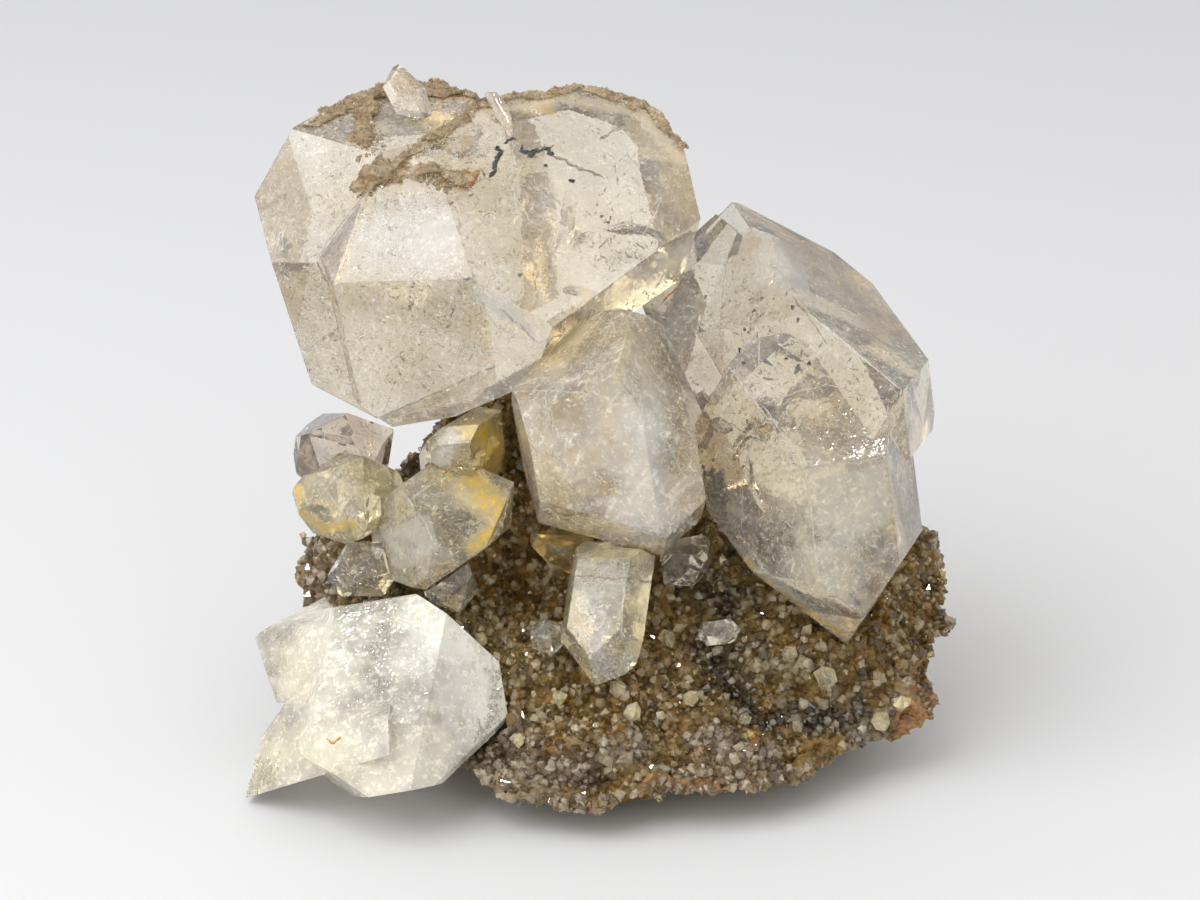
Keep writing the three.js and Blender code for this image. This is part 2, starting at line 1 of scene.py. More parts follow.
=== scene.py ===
"""Looks of a Herkimer quartz specimen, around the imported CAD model.

Clear crystals with worn edges, veils and healed cracks inside, stains of iron and clay, brown crust
on their tops, and a rock under a carpet of fine druse. Lengths are metres; names that end in _mm
are millimetres, and pixels are those of a 1200 x 900 picture taken by the camera below.
"""

import json
import math
from dataclasses import dataclass

import bmesh
import bpy
import numpy as np
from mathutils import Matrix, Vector, noise
from mathutils.bvhtree import BVHTree


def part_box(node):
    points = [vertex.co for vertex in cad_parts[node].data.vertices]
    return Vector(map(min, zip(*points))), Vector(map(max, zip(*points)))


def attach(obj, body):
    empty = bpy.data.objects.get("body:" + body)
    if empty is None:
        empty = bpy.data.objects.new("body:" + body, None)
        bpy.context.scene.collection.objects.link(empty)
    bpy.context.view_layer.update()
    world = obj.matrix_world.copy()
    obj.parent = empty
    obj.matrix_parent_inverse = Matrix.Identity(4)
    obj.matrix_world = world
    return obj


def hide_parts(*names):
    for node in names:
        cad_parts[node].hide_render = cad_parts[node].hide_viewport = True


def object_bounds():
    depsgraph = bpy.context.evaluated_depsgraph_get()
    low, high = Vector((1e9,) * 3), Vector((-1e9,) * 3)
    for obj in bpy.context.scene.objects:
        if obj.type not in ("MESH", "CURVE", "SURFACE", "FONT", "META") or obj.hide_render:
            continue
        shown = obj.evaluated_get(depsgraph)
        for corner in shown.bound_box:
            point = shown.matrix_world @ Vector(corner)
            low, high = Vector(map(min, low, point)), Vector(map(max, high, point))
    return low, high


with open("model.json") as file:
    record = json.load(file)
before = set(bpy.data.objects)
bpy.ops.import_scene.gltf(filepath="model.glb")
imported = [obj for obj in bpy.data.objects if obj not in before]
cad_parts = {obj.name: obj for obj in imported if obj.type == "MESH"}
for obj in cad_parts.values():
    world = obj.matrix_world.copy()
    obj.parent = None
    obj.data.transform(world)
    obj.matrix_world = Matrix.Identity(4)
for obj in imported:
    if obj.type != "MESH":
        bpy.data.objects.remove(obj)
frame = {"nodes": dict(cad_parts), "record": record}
cad_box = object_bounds()
scene = bpy.context.scene

MM = 0.001
QUARTZ_IOR = 1.544
GAP_IOR = 1 / QUARTZ_IOR  # an air-filled crack, seen from inside quartz
BODY = "root"
BOX_LOW, BOX_HIGH = (np.array(corner) for corner in cad_box)
SLOT_OF = {row["node"]: row["material_slot"] for row in frame["record"]["subparts"]}

# ---------- camera ----------

PICTURE = (1200, 900)
LENS_MM = 110
SENSOR_MM = 36
VIEW_ELEVATION = math.radians(24)
VIEW_TARGET = Vector((0, 0, 0.041))
VIEW_DISTANCE = 0.45833
VIEW_BACK = Vector((0, -math.cos(VIEW_ELEVATION), math.sin(VIEW_ELEVATION)))
VIEW_UP = Vector((0, math.sin(VIEW_ELEVATION), math.cos(VIEW_ELEVATION)))
PIXEL = VIEW_DISTANCE * SENSOR_MM / LENS_MM / PICTURE[0]  # a pixel's width at the target


def new_object(name, data):
    made = bpy.data.objects.new(name, data)
    scene.collection.objects.link(made)
    return made


def make_camera():
    data = bpy.data.cameras.new("camera")
    data.lens = LENS_MM
    data.sensor_width = SENSOR_MM
    scene.camera = new_object("camera", data)
    scene.camera.location = VIEW_TARGET + VIEW_BACK * VIEW_DISTANCE
    scene.camera.rotation_euler = (-VIEW_BACK).to_track_quat("-Z", "Y").to_euler()


def pixel_ray(pixel):
    """Start and direction of the sight line through a pixel of the picture."""
    across = (pixel[0] - PICTURE[0] / 2) * PIXEL
    down = (pixel[1] - PICTURE[1] / 2) * PIXEL
    direction = -VIEW_BACK * VIEW_DISTANCE + Vector((across, 0, 0)) - VIEW_UP * down
    return VIEW_TARGET + VIEW_BACK * VIEW_DISTANCE, direction.normalized()


# ---------- material nodes ----------


def node(tree, kind, inputs=None, **properties):
    """One shader node; an input is a value, or another node's output that is linked to it."""
    made = tree.nodes.new("ShaderNode" + kind)
    for name, value in properties.items():
        setattr(made, name, value)
    for name, value in (inputs or {}).items():
        if isinstance(value, bpy.types.NodeSocket):
            tree.links.new(value, made.inputs[name])
        else:
            made.inputs[name].default_value = value
    return made


def blank_material(name):
    """A material, its empty tree, and the place on the object that is shaded."""
    material = bpy.data.materials.new(name)
    material.use_nodes = True
    tree = material.node_tree
    tree.nodes.clear()
    return material, tree, node(tree, "TexCoord").outputs["Object"]


def finish_material(material, inputs, **others):
    """Ends a material's tree with a principled surface, and with what else its output takes."""
    tree = material.node_tree
    shader = node(tree, "BsdfPrincipled", inputs).outputs["BSDF"]
    node(tree, "OutputMaterial", {"Surface": shader, **others})
    return material


def noise_value(tree, place, per_mm, detail=4, roughness=0.55):
    """Noise from 0 to 1 whose features repeat per_mm times in a millimetre."""
    inputs = {"Vector": place, "Scale": per_mm / MM, "Detail": detail, "Roughness": roughness}
    return node(tree, "TexNoise", inputs).outputs["Fac"]


def span(tree, value, low, high, to_low=0.0, to_high=1.0, smooth=True):
    """value from low..high mapped to to_low..to_high and clamped."""
    names = ("Value", "From Min", "From Max", "To Min", "To Max")
    inputs = dict(zip(names, (value, low, high, to_low, to_high)))
    kind = "SMOOTHSTEP" if smooth else "LINEAR"
    return node(tree, "MapRange", inputs, interpolation_type=kind).outputs["Result"]


def maths(tree, operation, a, b=0.0, c=0.0):
    return node(tree, "Math", {0: a, 1: b, 2: c}, operation=operation).outputs["Value"]


def vector_maths(tree, operation, a, b, output="Vector"):
    return node(tree, "VectorMath", {0: a, 1: b}, operation=operation).outputs[output]


# A mix node's sockets for colours have no names of their own, so they go by number.
MIX_FACTOR, MIX_A, MIX_B, MIX_RESULT = 0, 6, 7, 2


def mix_colour(tree, factor, a, b):
    a, b = ((*colour, 1) if isinstance(colour, tuple) else colour for colour in (a, b))
    made = node(tree, "Mix", {MIX_FACTOR: factor, MIX_A: a, MIX_B: b}, data_type="RGBA")
    return made.outputs[MIX_RESULT]


def line_distance(tree, place, a, b):
    """Distance to the straight line between two points."""
    along = Vector(b) - Vector(a)
    if along.length < 0.01 * MM:
        return vector_maths(tree, "DISTANCE", place, a, "Value")
    from_a = vector_maths(tree, "SUBTRACT", place, a)
    dot = vector_maths(tree, "DOT_PRODUCT", from_a, along, "Value")
    share = span(tree, dot, 0.0, along.length_squared, smooth=False)
    step = node(tree, "VectorMath", {0: along, "Scale": share}, operation="SCALE")
    return vector_maths(tree, "DISTANCE", from_a, step.outputs["Vector"], "Value")


def patch_mask(tree, place, wobble, points, radius):
    """1 within a ragged band along a row of points, falling to 0 at its edge."""
    distance = None
    for a, b in zip(points, points[1:] or points):
        part = line_distance(tree, place, a, b)
        distance = part if distance is None else maths(tree, "MINIMUM", distance, part)
    strayed = maths(tree, "MULTIPLY_ADD", wobble, radius * 2, -radius)
    return span(tree, maths(tree, "ADD", distance, strayed), radius * 1.3, radius * 0.2)


def drawn_out(tree, place, per_mm, stretch, turn):
    """Noise drawn out along one direction, for wisps."""
    inputs = {"Vector": place, "Rotation": turn, "Scale": (1, 1, stretch)}
    along = node(tree, "Mapping", inputs, vector_type="TEXTURE").outputs["Vector"]
    return noise_value(tree, along, per_mm, detail=2, roughness=0.65)


def bump(tree, *heights):
    """A normal from (height value, depth in metres) pairs."""
    inputs = {}
    for value, depth in heights:
        inputs.update({"Height": value, "Distance": depth})
        inputs["Normal"] = node(tree, "Bump", inputs).outputs["Normal"]
    return inputs["Normal"]


@dataclass
class Look:
    """How quartz looks: what its depth swallows, and the milky matter in it."""

    tint: tuple
    density: float  # of the absorption
    milk: float  # share of milky clouds
    veil: float  # share of wisps, strokes and grain
    milk_colour: tuple
    glass: tuple = (1, 0.985, 0.955)
    roughness: float = 0.02
    relief: float = 1.0  # of its uneven faces


FACE_RELIEF_MM = 0.034
MOST_MILK = 0.95


def quartz_material(name, look, patches=()):
    """Clear quartz: absorption for its tint, milky clouds, wisps and grain, and patches of stain
    and haze, one of which is a painted reflection.

    A patch is (points, radius, colour, clearness): a film or a haze near the surface. The
    bluish-white one on the twin's large bright face paints that face's reflection of the light.
    """
    material, tree, place = blank_material(name)
    wobble = noise_value(tree, place, 0.45, detail=3, roughness=0.75)
    cloud = span(tree, noise_value(tree, place, 0.13, detail=2, roughness=0.65), 0.34, 0.66)
    wisps = span(tree, drawn_out(tree, place, 0.9, 7, (0.5, 0.4, 0.0)), 0.52, 0.72)
    strokes = span(tree, drawn_out(tree, place, 1.1, 5, (0.3, -0.9, 0.6)), 0.56, 0.72)
    grain = span(tree, noise_value(tree, place, 1.3, detail=2, roughness=0.8), 0.52, 0.72)
    milk = maths(tree, "MULTIPLY", maths(tree, "MULTIPLY_ADD", cloud, 0.9, 0.5), look.milk)
    for part in (maths(tree, "MULTIPLY", wisps, cloud), strokes, grain):
        milk = maths(tree, "MULTIPLY_ADD", part, look.veil, milk)
    milk = span(tree, milk, 0.0, MOST_MILK, 0.0, MOST_MILK, smooth=False)
    colour = mix_colour(tree, milk, look.glass, look.milk_colour)
    clear = maths(tree, "SUBTRACT", 1.0, milk)
    mottle = span(tree, maths(tree, "MULTIPLY_ADD", grain, 0.25, wobble), 0.38, 0.66, 0.55, 1.0)
    for points, radius, patch_colour, clearness in patches:
        mask = maths(tree, "MULTIPLY", patch_mask(tree, place, wobble, points, radius), mottle)
        colour = mix_colour(tree, mask, colour, patch_colour)
        open_share = maths(tree, "MULTIPLY_ADD", mask, clearness - 1, 1.0)
        clear = maths(tree, "MULTIPLY", clear, open_share)
    inputs = {
        "Base Color": colour,
        "Roughness": maths(tree, "MULTIPLY_ADD", grain, 0.05, look.roughness),
        "IOR": QUARTZ_IOR,
        "Transmission Weight": clear,
        "Normal": bump(tree, (wobble, FACE_RELIEF_MM * MM * look.relief)),
    }
    absorb = node(tree, "VolumeAbsorption", {"Color": (*look.tint, 1), "Density": look.density})
    return finish_material(material, inputs, Volume=absorb.outputs["Volume"])


def crack_material():
    """An air-filled crack inside quartz: mirror-bright at a slant and nearly unseen head on."""
    material, tree, place = blank_material("crack")
    grain = noise_value(tree, place, 3.0, detail=1)
    inputs = {
        "Base Color": (1, 1, 1, 1),
        "Roughness": span(tree, grain, 0.3, 0.7, 0.0, 0.12, smooth=False),
        "IOR": GAP_IOR,
        "Transmission Weight": 1.0,
    }
    return finish_material(material, inputs)


# Matter in the quartz or on it: its light and dark colours, transmission, and roughness.
MATTER = {
    "white_veil": ((0.96, 0.95, 0.93), (0.88, 0.85, 0.79), 0.0, 0.35),
    "stained_veil": ((0.74, 0.58, 0.38), (0.42, 0.31, 0.20), 0.0, 0.35),
    "white_streak": ((0.97, 0.96, 0.95), (0.88, 0.86, 0.82), 0.5, 0.35),
    "carbon": ((0.07, 0.065, 0.06), (0.015, 0.014, 0.013), 0.0, 0.35),
    "clay": ((0.40, 0.30, 0.20), (0.24, 0.17, 0.11), 0.1, 0.35),
    "iron": ((0.72, 0.36, 0.05), (0.45, 0.20, 0.03), 0.1, 0.35),
    "iron_gold": ((0.95, 0.72, 0.22), (0.8, 0.5, 0.1), 0.4, 0.35),
    # Painted shade, which darkens a facet through a plate just under it.
    "smoke": ((0.50, 0.42, 0.35), (0.34, 0.28, 0.23), 0.75, 0.1),
    "film": ((0.93, 0.87, 0.74), (0.84, 0.77, 0.62), 0.82, 0.12),
    "frosty": ((0.98, 0.98, 0.97), (0.93, 0.92, 0.90), 0.72, 0.15),
    "pale_grain": ((0.93, 0.90, 0.84), (0.84, 0.79, 0.70), 0.6, 0.08),
    "grey_grain": ((0.66, 0.59, 0.50), (0.40, 0.34, 0.28), 0.6, 0.08),
    "yellow_grain": ((0.95, 0.91, 0.74), (0.92, 0.86, 0.64), 0.6, 0.08),
    "crust_grain": ((0.76, 0.58, 0.34), (0.50, 0.35, 0.19), 0.6, 0.08),
    "gold_grain": ((0.92, 0.78, 0.52), (0.72, 0.55, 0.32), 0.6, 0.08),
    "iron_grain": ((0.92, 0.45, 0.05), (0.62, 0.25, 0.02), 0.6, 0.08),
}


def matter_material(kind, name=None):
    """Matter held in the quartz or lying on it, mottled between its two colours."""
    light, dark, transmission, roughness = MATTER[kind]
    material, tree, place = blank_material(name or kind)
    grain = noise_value(tree, place, 1.6, detail=2, roughness=0.65)
    inputs = {
        "Base Color": mix_colour(tree, span(tree, grain, 0.35, 0.65), dark, light),
        "Roughness": span(tree, grain, 0.3, 0.7, roughness * 0.6, roughness * 1.4),
        "IOR": 1.45,
        "Transmission Weight": transmission,
    }
    return finish_material(material, inputs)


# ---------- meshes ----------


def mesh_of(name, points, faces):
    mesh = bpy.data.meshes.new(name)
    mesh.from_pydata(np.asarray(points).tolist(), [], faces)
    mesh.update()
    return mesh


def joined_mesh(name, parts):
    """One mesh from several bodies, each of them points and faces."""
    points, faces = [], []
    for part_points, part_faces in parts:
        faces += [[i + len(points) for i in face] for face in part_faces]
        points += part_points.tolist()
    return mesh_of(name, points, faces)


def add_piece(name, mesh, material, replaced=()):
    mesh.materials.clear()
    mesh.materials.append(material)
    piece = new_object(name, mesh)
    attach(piece, BODY)
    if replaced:
        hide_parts(*replaced)


def add_groups(groups, suffix, materials):
    """A piece for each group of bodies, which go by their solid and their kind of matter."""
    for (name, kind), parts in groups.items():
        mesh = joined_mesh(name, parts)
        add_piece(f"{name}_{kind}_{suffix}", mesh, materials[kind])


def cad_bmesh(name):
    """A CAD node's shape with its shared corners merged."""
    shape = bmesh.new()
    shape.from_mesh(frame["nodes"][name].data)
    bmesh.ops.remove_doubles(shape, verts=shape.verts, dist=0.02 * MM)
    return shape


def mesh_from(shape, name):
    mesh = bpy.data.meshes.new(name)
    shape.to_mesh(mesh)
    shape.free()
    return mesh


def unit(vectors):
    return vectors / np.maximum(np.linalg.norm(vectors, axis=-1, keepdims=True), 1e-12)


def strayed(directions, random, share):
    """Unit directions turned at random by about a share of their length."""
    return unit(directions + random.normal(size=directions.shape) * share)


def sizes_of(count, random, least_mm, more_mm, power):
    """Random sizes in metres, of which the larger are the rarer, by a power."""
    return (least_mm + more_mm * random.uniform(0, 1, count) ** power) * MM


class Solid:
    """A CAD solid, for placing what lies on it and in it."""

    def __init__(self, name):
        self.name = name
        shape = cad_bmesh(name)
        self.tree = BVHTree.FromBMesh(shape)
        shape.free()
        self.low, self.high = (np.array(corner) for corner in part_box(name))

    def is_inside(self, point):
        """Whether a point lies inside: a line from it leaves through an odd number of faces."""
        direction = Vector((0.31, 0.52, 0.79)).normalized()
        crossings = 0
        start = Vector(point)
        while (hit := self.tree.ray_cast(start, direction)[0]) is not None:
            crossings += 1
            start = hit + direction * 0.001 * MM
        return crossings % 2 == 1

    def depth(self, point):
        """How far inside the surface a point is; negative outside."""
        distance = self.tree.find_nearest(Vector(point))[3]
        return distance if self.is_inside(point) else -distance

    def seen_at(self, pixel):
        """The surface point and normal that the camera sees at a pixel, or None."""
        hit, normal, _, _ = self.tree.ray_cast(*pixel_ray(pixel))
        return None if hit is None else (hit, normal)

    def traced(self, pixels):
        """The surface points that the camera sees at pixels that all lie on the solid."""
        return [self.seen_at(pixel)[0] for pixel in pixels]

    def behind(self, pixel, depth_mm):
        """The point at a depth below the surface at a pixel, along the sight line."""
        seen = self.seen_at(pixel)
        return None if seen is None else seen[0] + pixel_ray(pixel)[1] * depth_mm * MM

    def random_inside(self, random, margin_mm):
        while True:
            point = random.uniform(self.low, self.high)
            if self.depth(point) > margin_mm * MM:
                return point


EDGE_WEAR_MM = 0.14
SHARP_EDGE = math.radians(9)
VICINAL_AREA_MM2 = 30  # faces larger than this get a very low, off-centre growth hillock
VICINAL_HEIGHT = 0.008  # over the square root of the face's area


def crystal_mesh(name, random):
    """The CAD crystal with low growth hillocks on its large faces and its edges worn."""
    shape = cad_bmesh(name)
    flat = math.radians(0.6)
    bmesh.ops.dissolve_limit(shape, angle_limit=flat, verts=shape.verts, edges=shape.edges)
    for face in list(shape.faces):
        area = face.calc_area() / MM**2
        if area < VICINAL_AREA_MM2 or not all(loop.is_convex for loop in face.loops):
            continue
        corners = np.array([v.co for v in face.verts])
        weights = random.uniform(0.25, 1.0, len(corners))
        peak = (corners * weights[:, None]).sum(0) / weights.sum()
        normal = np.array(face.normal)
        poked = bmesh.ops.poke(shape, faces=[face])
        height = VICINAL_HEIGHT * math.sqrt(area) * MM * random.uniform(0.2, 1.0)
        poked["verts"][0].co = Vector(peak + normal * height)
    shape.normal_update()
    edges = [e for e in shape.edges if len(e.link_faces) == 2 and e.calc_face_angle(0) > SHARP_EDGE]
    wear = dict(offset=EDGE_WEAR_MM * MM, segments=2, profile=0.6, clamp_overlap=True)
    bmesh.ops.bevel(shape, geom=edges, affect="EDGES", **wear)
    bmesh.ops.recalc_face_normals(shape, faces=shape.faces)
    return mesh_from(shape, name)


def frames_along(normals, random):
    """Two unit vectors across each normal, turned at random."""
    side = unit(np.cross(normals, random.normal(size=normals.shape)))
    return side, np.cross(normals, side)


BODY_CORNERS = 8  # of a six-sided body: its rim, its top and its bottom
RIM_TURNS = np.arange(6) * math.pi / 3


def six_sided(name, rim, top, bottom):
    """Closed bodies in one mesh, each with six corners round it, a top and a bottom."""
    points = np.concatenate([rim, top[:, None], bottom[:, None]], 1)
    ring = np.arange(6)
    after = (ring + 1) % 6
    upper = np.stack([ring, after, np.full(6, 6)], 1)
    lower = np.stack([after, ring, np.full(6, 7)], 1)
    starts = BODY_CORNERS * np.arange(len(rim))
    faces = np.concatenate([upper, lower])[None] + starts[:, None, None]
    return mesh_of(name, points.reshape(-1, 3), faces.reshape(-1, 3).tolist())


FLAKE_THICKNESS_MM = 0.03


def flakes(name, centres, normals, radii, random, slender):
    """Thin six-cornered plates; slender is the range of their width over their length."""
    count = len(centres)
    side, across = frames_along(normals, random)
    reach = radii[:, None] * random.uniform(0.6, 1.0, (count, 6))
    squeeze = random.uniform(*slender, count)[:, None]
    rim = (
        centres[:, None]
        + side[:, None] * (reach * np.cos(RIM_TURNS))[..., None]
        + across[:, None] * (reach * np.sin(RIM_TURNS) * squeeze)[..., None]
    )
    lift = normals * FLAKE_THICKNESS_MM * MM / 2
    return six_sided(name, rim, centres + lift, centres - lift)


THREAD_FLATNESS = 0.3


def thread(points, widths):
    """A closed strip with a diamond section along a path: its points and faces."""
    tangent = unit(np.gradient(points, axis=0))
    side = unit(np.cross(tangent, np.array(VIEW_BACK)))
    lift = np.cross(side, tangent) * THREAD_FLATNESS
    rows = np.stack([side, lift, -side, -lift], 1) * widths[:, None, None] + points[:, None]
    last = 4 * (len(points) - 1)
    faces = [
        (i + k, i + (k + 1) % 4, i + (k + 1) % 4 + 4, i + k + 4)
        for i in range(0, last, 4)
        for k in range(4)
    ]
    return rows.reshape(-1, 3), [*faces, (3, 2, 1, 0), range(last, last + 4)]


def grains(name, bases, directions, radii, random):
    """Six-sided quartz points that taper to a root in what they grow on, joined in one mesh."""
    count = len(bases)
    side, across = frames_along(directions, random)
    x, y = np.cos(RIM_TURNS)[:, None], np.sin(RIM_TURNS)[:, None]
    circle = side[:, None] * x + across[:, None] * y
    width = radii[:, None] * random.uniform(0.75, 1.15, (count, 6))
    shoulder = radii * random.uniform(0.1, 0.9, count)
    skew = radii[:, None] * random.uniform(-0.25, 0.25, (count, 6))
    rim = bases[:, None] + directions[:, None] * (shoulder[:, None] + skew)[..., None]
    rim = rim + circle * width[..., None]
    lean = (side * random.uniform(-0.3, 0.3, (count, 1))) * radii[:, None]
    tip = bases + lean + directions * (shoulder + radii * random.uniform(0.6, 1.1, count))[:, None]
    return six_sided(name, rim, tip, bases - directions * (radii * 1.3)[:, None])


def remeshed(name, voxel_mm):
    """A CAD node's outer surface as an even mesh."""
    helper = new_object("helper", mesh_from(cad_bmesh(name), name + "_even"))
    remesh = helper.modifiers.new("even", "REMESH")
    remesh.mode = "VOXEL"
    remesh.voxel_size = voxel_mm * MM
    graph = bpy.context.evaluated_depsgraph_get()
    even = bpy.data.meshes.new_from_object(helper.evaluated_get(graph))
    bpy.data.objects.remove(helper)
    return even


def vertex_arrays(mesh):
    points = np.zeros(len(mesh.vertices) * 3)
    normals = np.zeros(len(mesh.vertices) * 3)
    mesh.vertices.foreach_get("co", points)
    mesh.vertex_normals.foreach_get("vector", normals)
    return points.reshape(-1, 3), normals.reshape(-1, 3)


def move_vertices(mesh, points):
    mesh.vertices.foreach_set("co", points.ravel())
    mesh.update()
    return mesh


def noise_at(points, per_mm, lacunarity=2.0, octaves=3):
    rows = (Vector(p) * per_mm / MM for p in points)
    return np.array([noise.fractal(row, 0.9, lacunarity, octaves) for row in rows])


def roughened(mesh, layers):
    """Moves a mesh's surface by layers of fractal noise: (depth_mm, per_mm, share inwards)."""
    points, normals = vertex_arrays(mesh)
    moved = points.copy()
    for depth_mm, per_mm, inward in layers:
        moves = np.clip(noise_at(points, per_mm, 2.1, 4), -1, 1) - inward
        moved += normals * (moves * depth_mm * MM)[:, None]
    return move_vertices(mesh, np.clip(moved, BOX_LOW, BOX_HIGH))


def sample_surface(mesh, count, random, wanted):
    """Random points and normals on the faces whose centre and normal are wanted."""
    mesh.calc_loop_triangles()
    points, _ = vertex_arrays(mesh)
    corners = np.zeros(len(mesh.loop_triangles) * 3, int)
    mesh.loop_triangles.foreach_get("vertices", corners)
    corners = points[corners.reshape(-1, 3)]
    cross = np.cross(corners[:, 1] - corners[:, 0], corners[:, 2] - corners[:, 0])
    area = np.linalg.norm(cross, axis=1)
    normals = cross / np.maximum(area, 1e-18)[:, None]
    area = area * wanted(corners.mean(1), normals)
    chosen = random.choice(len(area), count, p=area / area.sum())
    share = random.dirichlet((1, 1, 1), count)
    return (corners[chosen] * share[..., None]).sum(1), normals[chosen]


def fits_box(points, radii):
    """Which points leave room for their grains within the CAD model's box."""
    reach = 2.6 * radii[:, None]
    return ((points - BOX_LOW > reach) & (BOX_HIGH - points > reach)).all(1)


def along_row(row, places):
    """Pixels on the lines that join a row of pixels; place 1.5 is halfway from row[1] to row[2]."""
    row = np.array(row, float)
    return np.stack([np.interp(places, np.arange(len(row)), row[:, k]) for k in (0, 1)], 1)


def rows_of(table):
    """The rows of a table: the solid above them if it is named, their words and their pixels.

    Words that end in a digit are read as numbers, and pixels are written x,y.
    """
    solid = None
    for line in table.strip().splitlines():
        words = [word for word in line.split() if "," not in word]
        pixels = [tuple(map(int, word.split(","))) for word in line.split() if "," in word]
        if pixels:
            yield solid, [float(word) if word[-1].isdigit() else word for word in words], pixels
        else:
            solid = words[0]


# ---------- crystals ----------

CLEAR = Look((0.90, 0.84, 0.70), 76, 0.13, 0.17, (0.93, 0.88, 0.78))
SMOKY = Look((0.86, 0.79, 0.70), 170, 0.07, 0.12, (0.70, 0.61, 0.49))
VEILED = Look((0.98, 0.86, 0.52), 60, 0.24, 0.24, (0.98, 0.91, 0.72), relief=1.2)
MILKY = Look((0.97, 0.89, 0.66), 45, 0.44, 0.28, (0.98, 0.92, 0.73), roughness=0.04, relief=3)
SMALL = Look((0.97, 0.84, 0.56), 60, 0.07, 0.13, (0.97, 0.88, 0.68))
GOLDEN = Look((1.0, 0.87, 0.42), 50, 0.17, 0.13, (0.97, 0.88, 0.68), glass=(1, 0.975, 0.86))
DEEP_GOLDEN = Look((1.0, 0.80, 0.22), 70, 0.25, 0.13, (1.0, 0.78, 0.36), glass=(1, 0.95, 0.72))
BLADE = Look((0.95, 0.78, 0.45), 380, 0.16, 0.2, (0.90, 0.76, 0.50))
AMBER = Look((0.97, 0.78, 0.22), 150, 0.08, 0.1, (0.85, 0.64, 0.25), glass=(1, 0.94, 0.66))

CRYSTALS = {
    "twin_crystal": CLEAR,
    "right_crystal": CLEAR,
    "centre_crystal": VEILED,
    "small_prism": GOLDEN,
    "golden_tip_crystal": GOLDEN,
    "golden_rear_crystal": DEEP_GOLDEN,
    "yellow_left_crystal": GOLDEN,
    "smoky_crystal": SMOKY,
    "clear_left_crystal": SMALL,
    "clear_low_crystal": SMALL,
    "amber_crystal": AMBER,
    "front_crystal": MILKY,
    "block_crystal": SMOKY,
    "bead_crystal": SMALL,
    "lens_crystal": SMALL,
    "blade_chip": BLADE,
    "blade_edge": BLADE,
}

COLOURS = {
    "brown": (0.50, 0.36, 0.20),
    "gold_brown": (0.62, 0.42, 0.15),
    "grey_brown": (0.56, 0.47, 0.40),
    "pink_brown": (0.62, 0.48, 0.40),
    "beige": (0.76, 0.64, 0.45),
    "crust_tone": (0.66, 0.50, 0.30),
    "yellow": (1.0, 0.68, 0.08),
    "pale_yellow": (0.97, 0.86, 0.56),
    "cream": (0.96, 0.89, 0.68),
    "haze": (0.88, 0.81, 0.69),
    "white": (0.93, 0.92, 0.89),
    # A bluish-white haze that paints the reflection on the twin's large bright face.
    "lilac_white": (0.88, 0.90, 0.96),
    "pale": (0.99, 0.96, 0.88),
}

# Stains and hazes, and a painted reflection on the twin's large bright face: half-width in pixels,
# colour, how clear the quartz stays, pixels along it.
QUARTZ_PATCHES = """
    twin_crystal
        15 gold_brown 0.5  548,109
        13 brown 0.6  466,141
        9 beige 0.45  502,106 560,97 640,113 680,160
        22 beige 0.8  670,168 690,205
        9 yellow 0.7  586,295
        17 crust_tone 0.25  322,116 380,92 474,98
        22 crust_tone 0.35  374,128
        10 crust_tone 0.3  400,166 492,104
        9 brown 0.5  372,184 462,190
        30 white 0.82  498,284
        42 lilac_white 0.74  385,240 435,238
        26 haze 0.35  596,304 686,254
        26 haze 0.66  562,196 580,280
    right_crystal
        26 brown 0.55  751,243
        46 grey_brown 0.85  800,250 885,330
        32 pink_brown 0.8  703,367
        26 pink_brown 0.8  707,424
        6 brown 0.6  740,209 830,256 915,347
        56 cream 0.66  790,490 860,500
        56 cream 0.62  825,572
        18 white 0.65  770,580 830,622
        56 beige 0.8  830,422
        8 yellow 0.75  748,562 840,632
        14 pale_yellow 0.85  889,528
        28 grey_brown 0.6  726,502
    centre_crystal
        46 beige 0.8  560,350 640,340
        7 pale_yellow 0.8  632,335 618,380
        22 pale_yellow 0.85  545,480 560,500
        32 white 0.7  640,430 640,520
    small_prism
        15 pale_yellow 0.6  598,556 642,552
        12 pale_yellow 0.7  646,590 640,630
        16 white 0.85  590,600 600,650
    golden_tip_crystal
        24 yellow 0.45  474,484 500,512
        11 yellow 0.6  472,548 492,530
        12 pale_yellow 0.8  440,480 462,500
        24 haze 0.7  390,540 425,560
    golden_rear_crystal
        24 yellow 0.3  478,425 495,455
        14 white 0.5  450,440 440,460
    yellow_left_crystal
        9 yellow 0.6  297,490 304,514 325,529 352,524
        12 pale_yellow 0.8  350,468 380,478
    clear_low_crystal
        8 pale_yellow 0.8  465,590
    front_crystal
        34 cream 0.7  262,765 300,742 330,768
        24 cream 0.8  290,655 300,690
        34 white 0.75  420,650 450,690
        50 pale 0.1  462,636 484,672 488,706
"""

solids = {name: Solid(name) for name in [*CRYSTALS, "druse_matrix"]}


def make_crystals():
    random = np.random.default_rng(11)
    for name, look in CRYSTALS.items():
        patches = [
            (solids[name].traced(pixels), half_width * PIXEL, COLOURS[colour], clearness)
            for stained, (half_width, colour, clearness), pixels in rows_of(QUARTZ_PATCHES)
            if stained == name
        ]
        material = quartz_material(name, look, patches)
        add_piece(name + "_quartz", crystal_mesh(name, random), material, (name,))


def is_free(point, margin):
    """Whether a point lies outside all crystals, by a margin."""
    return all(solids[name].depth(point) < -margin for name in CRYSTALS)


# ---------- what the crystals hold ----------

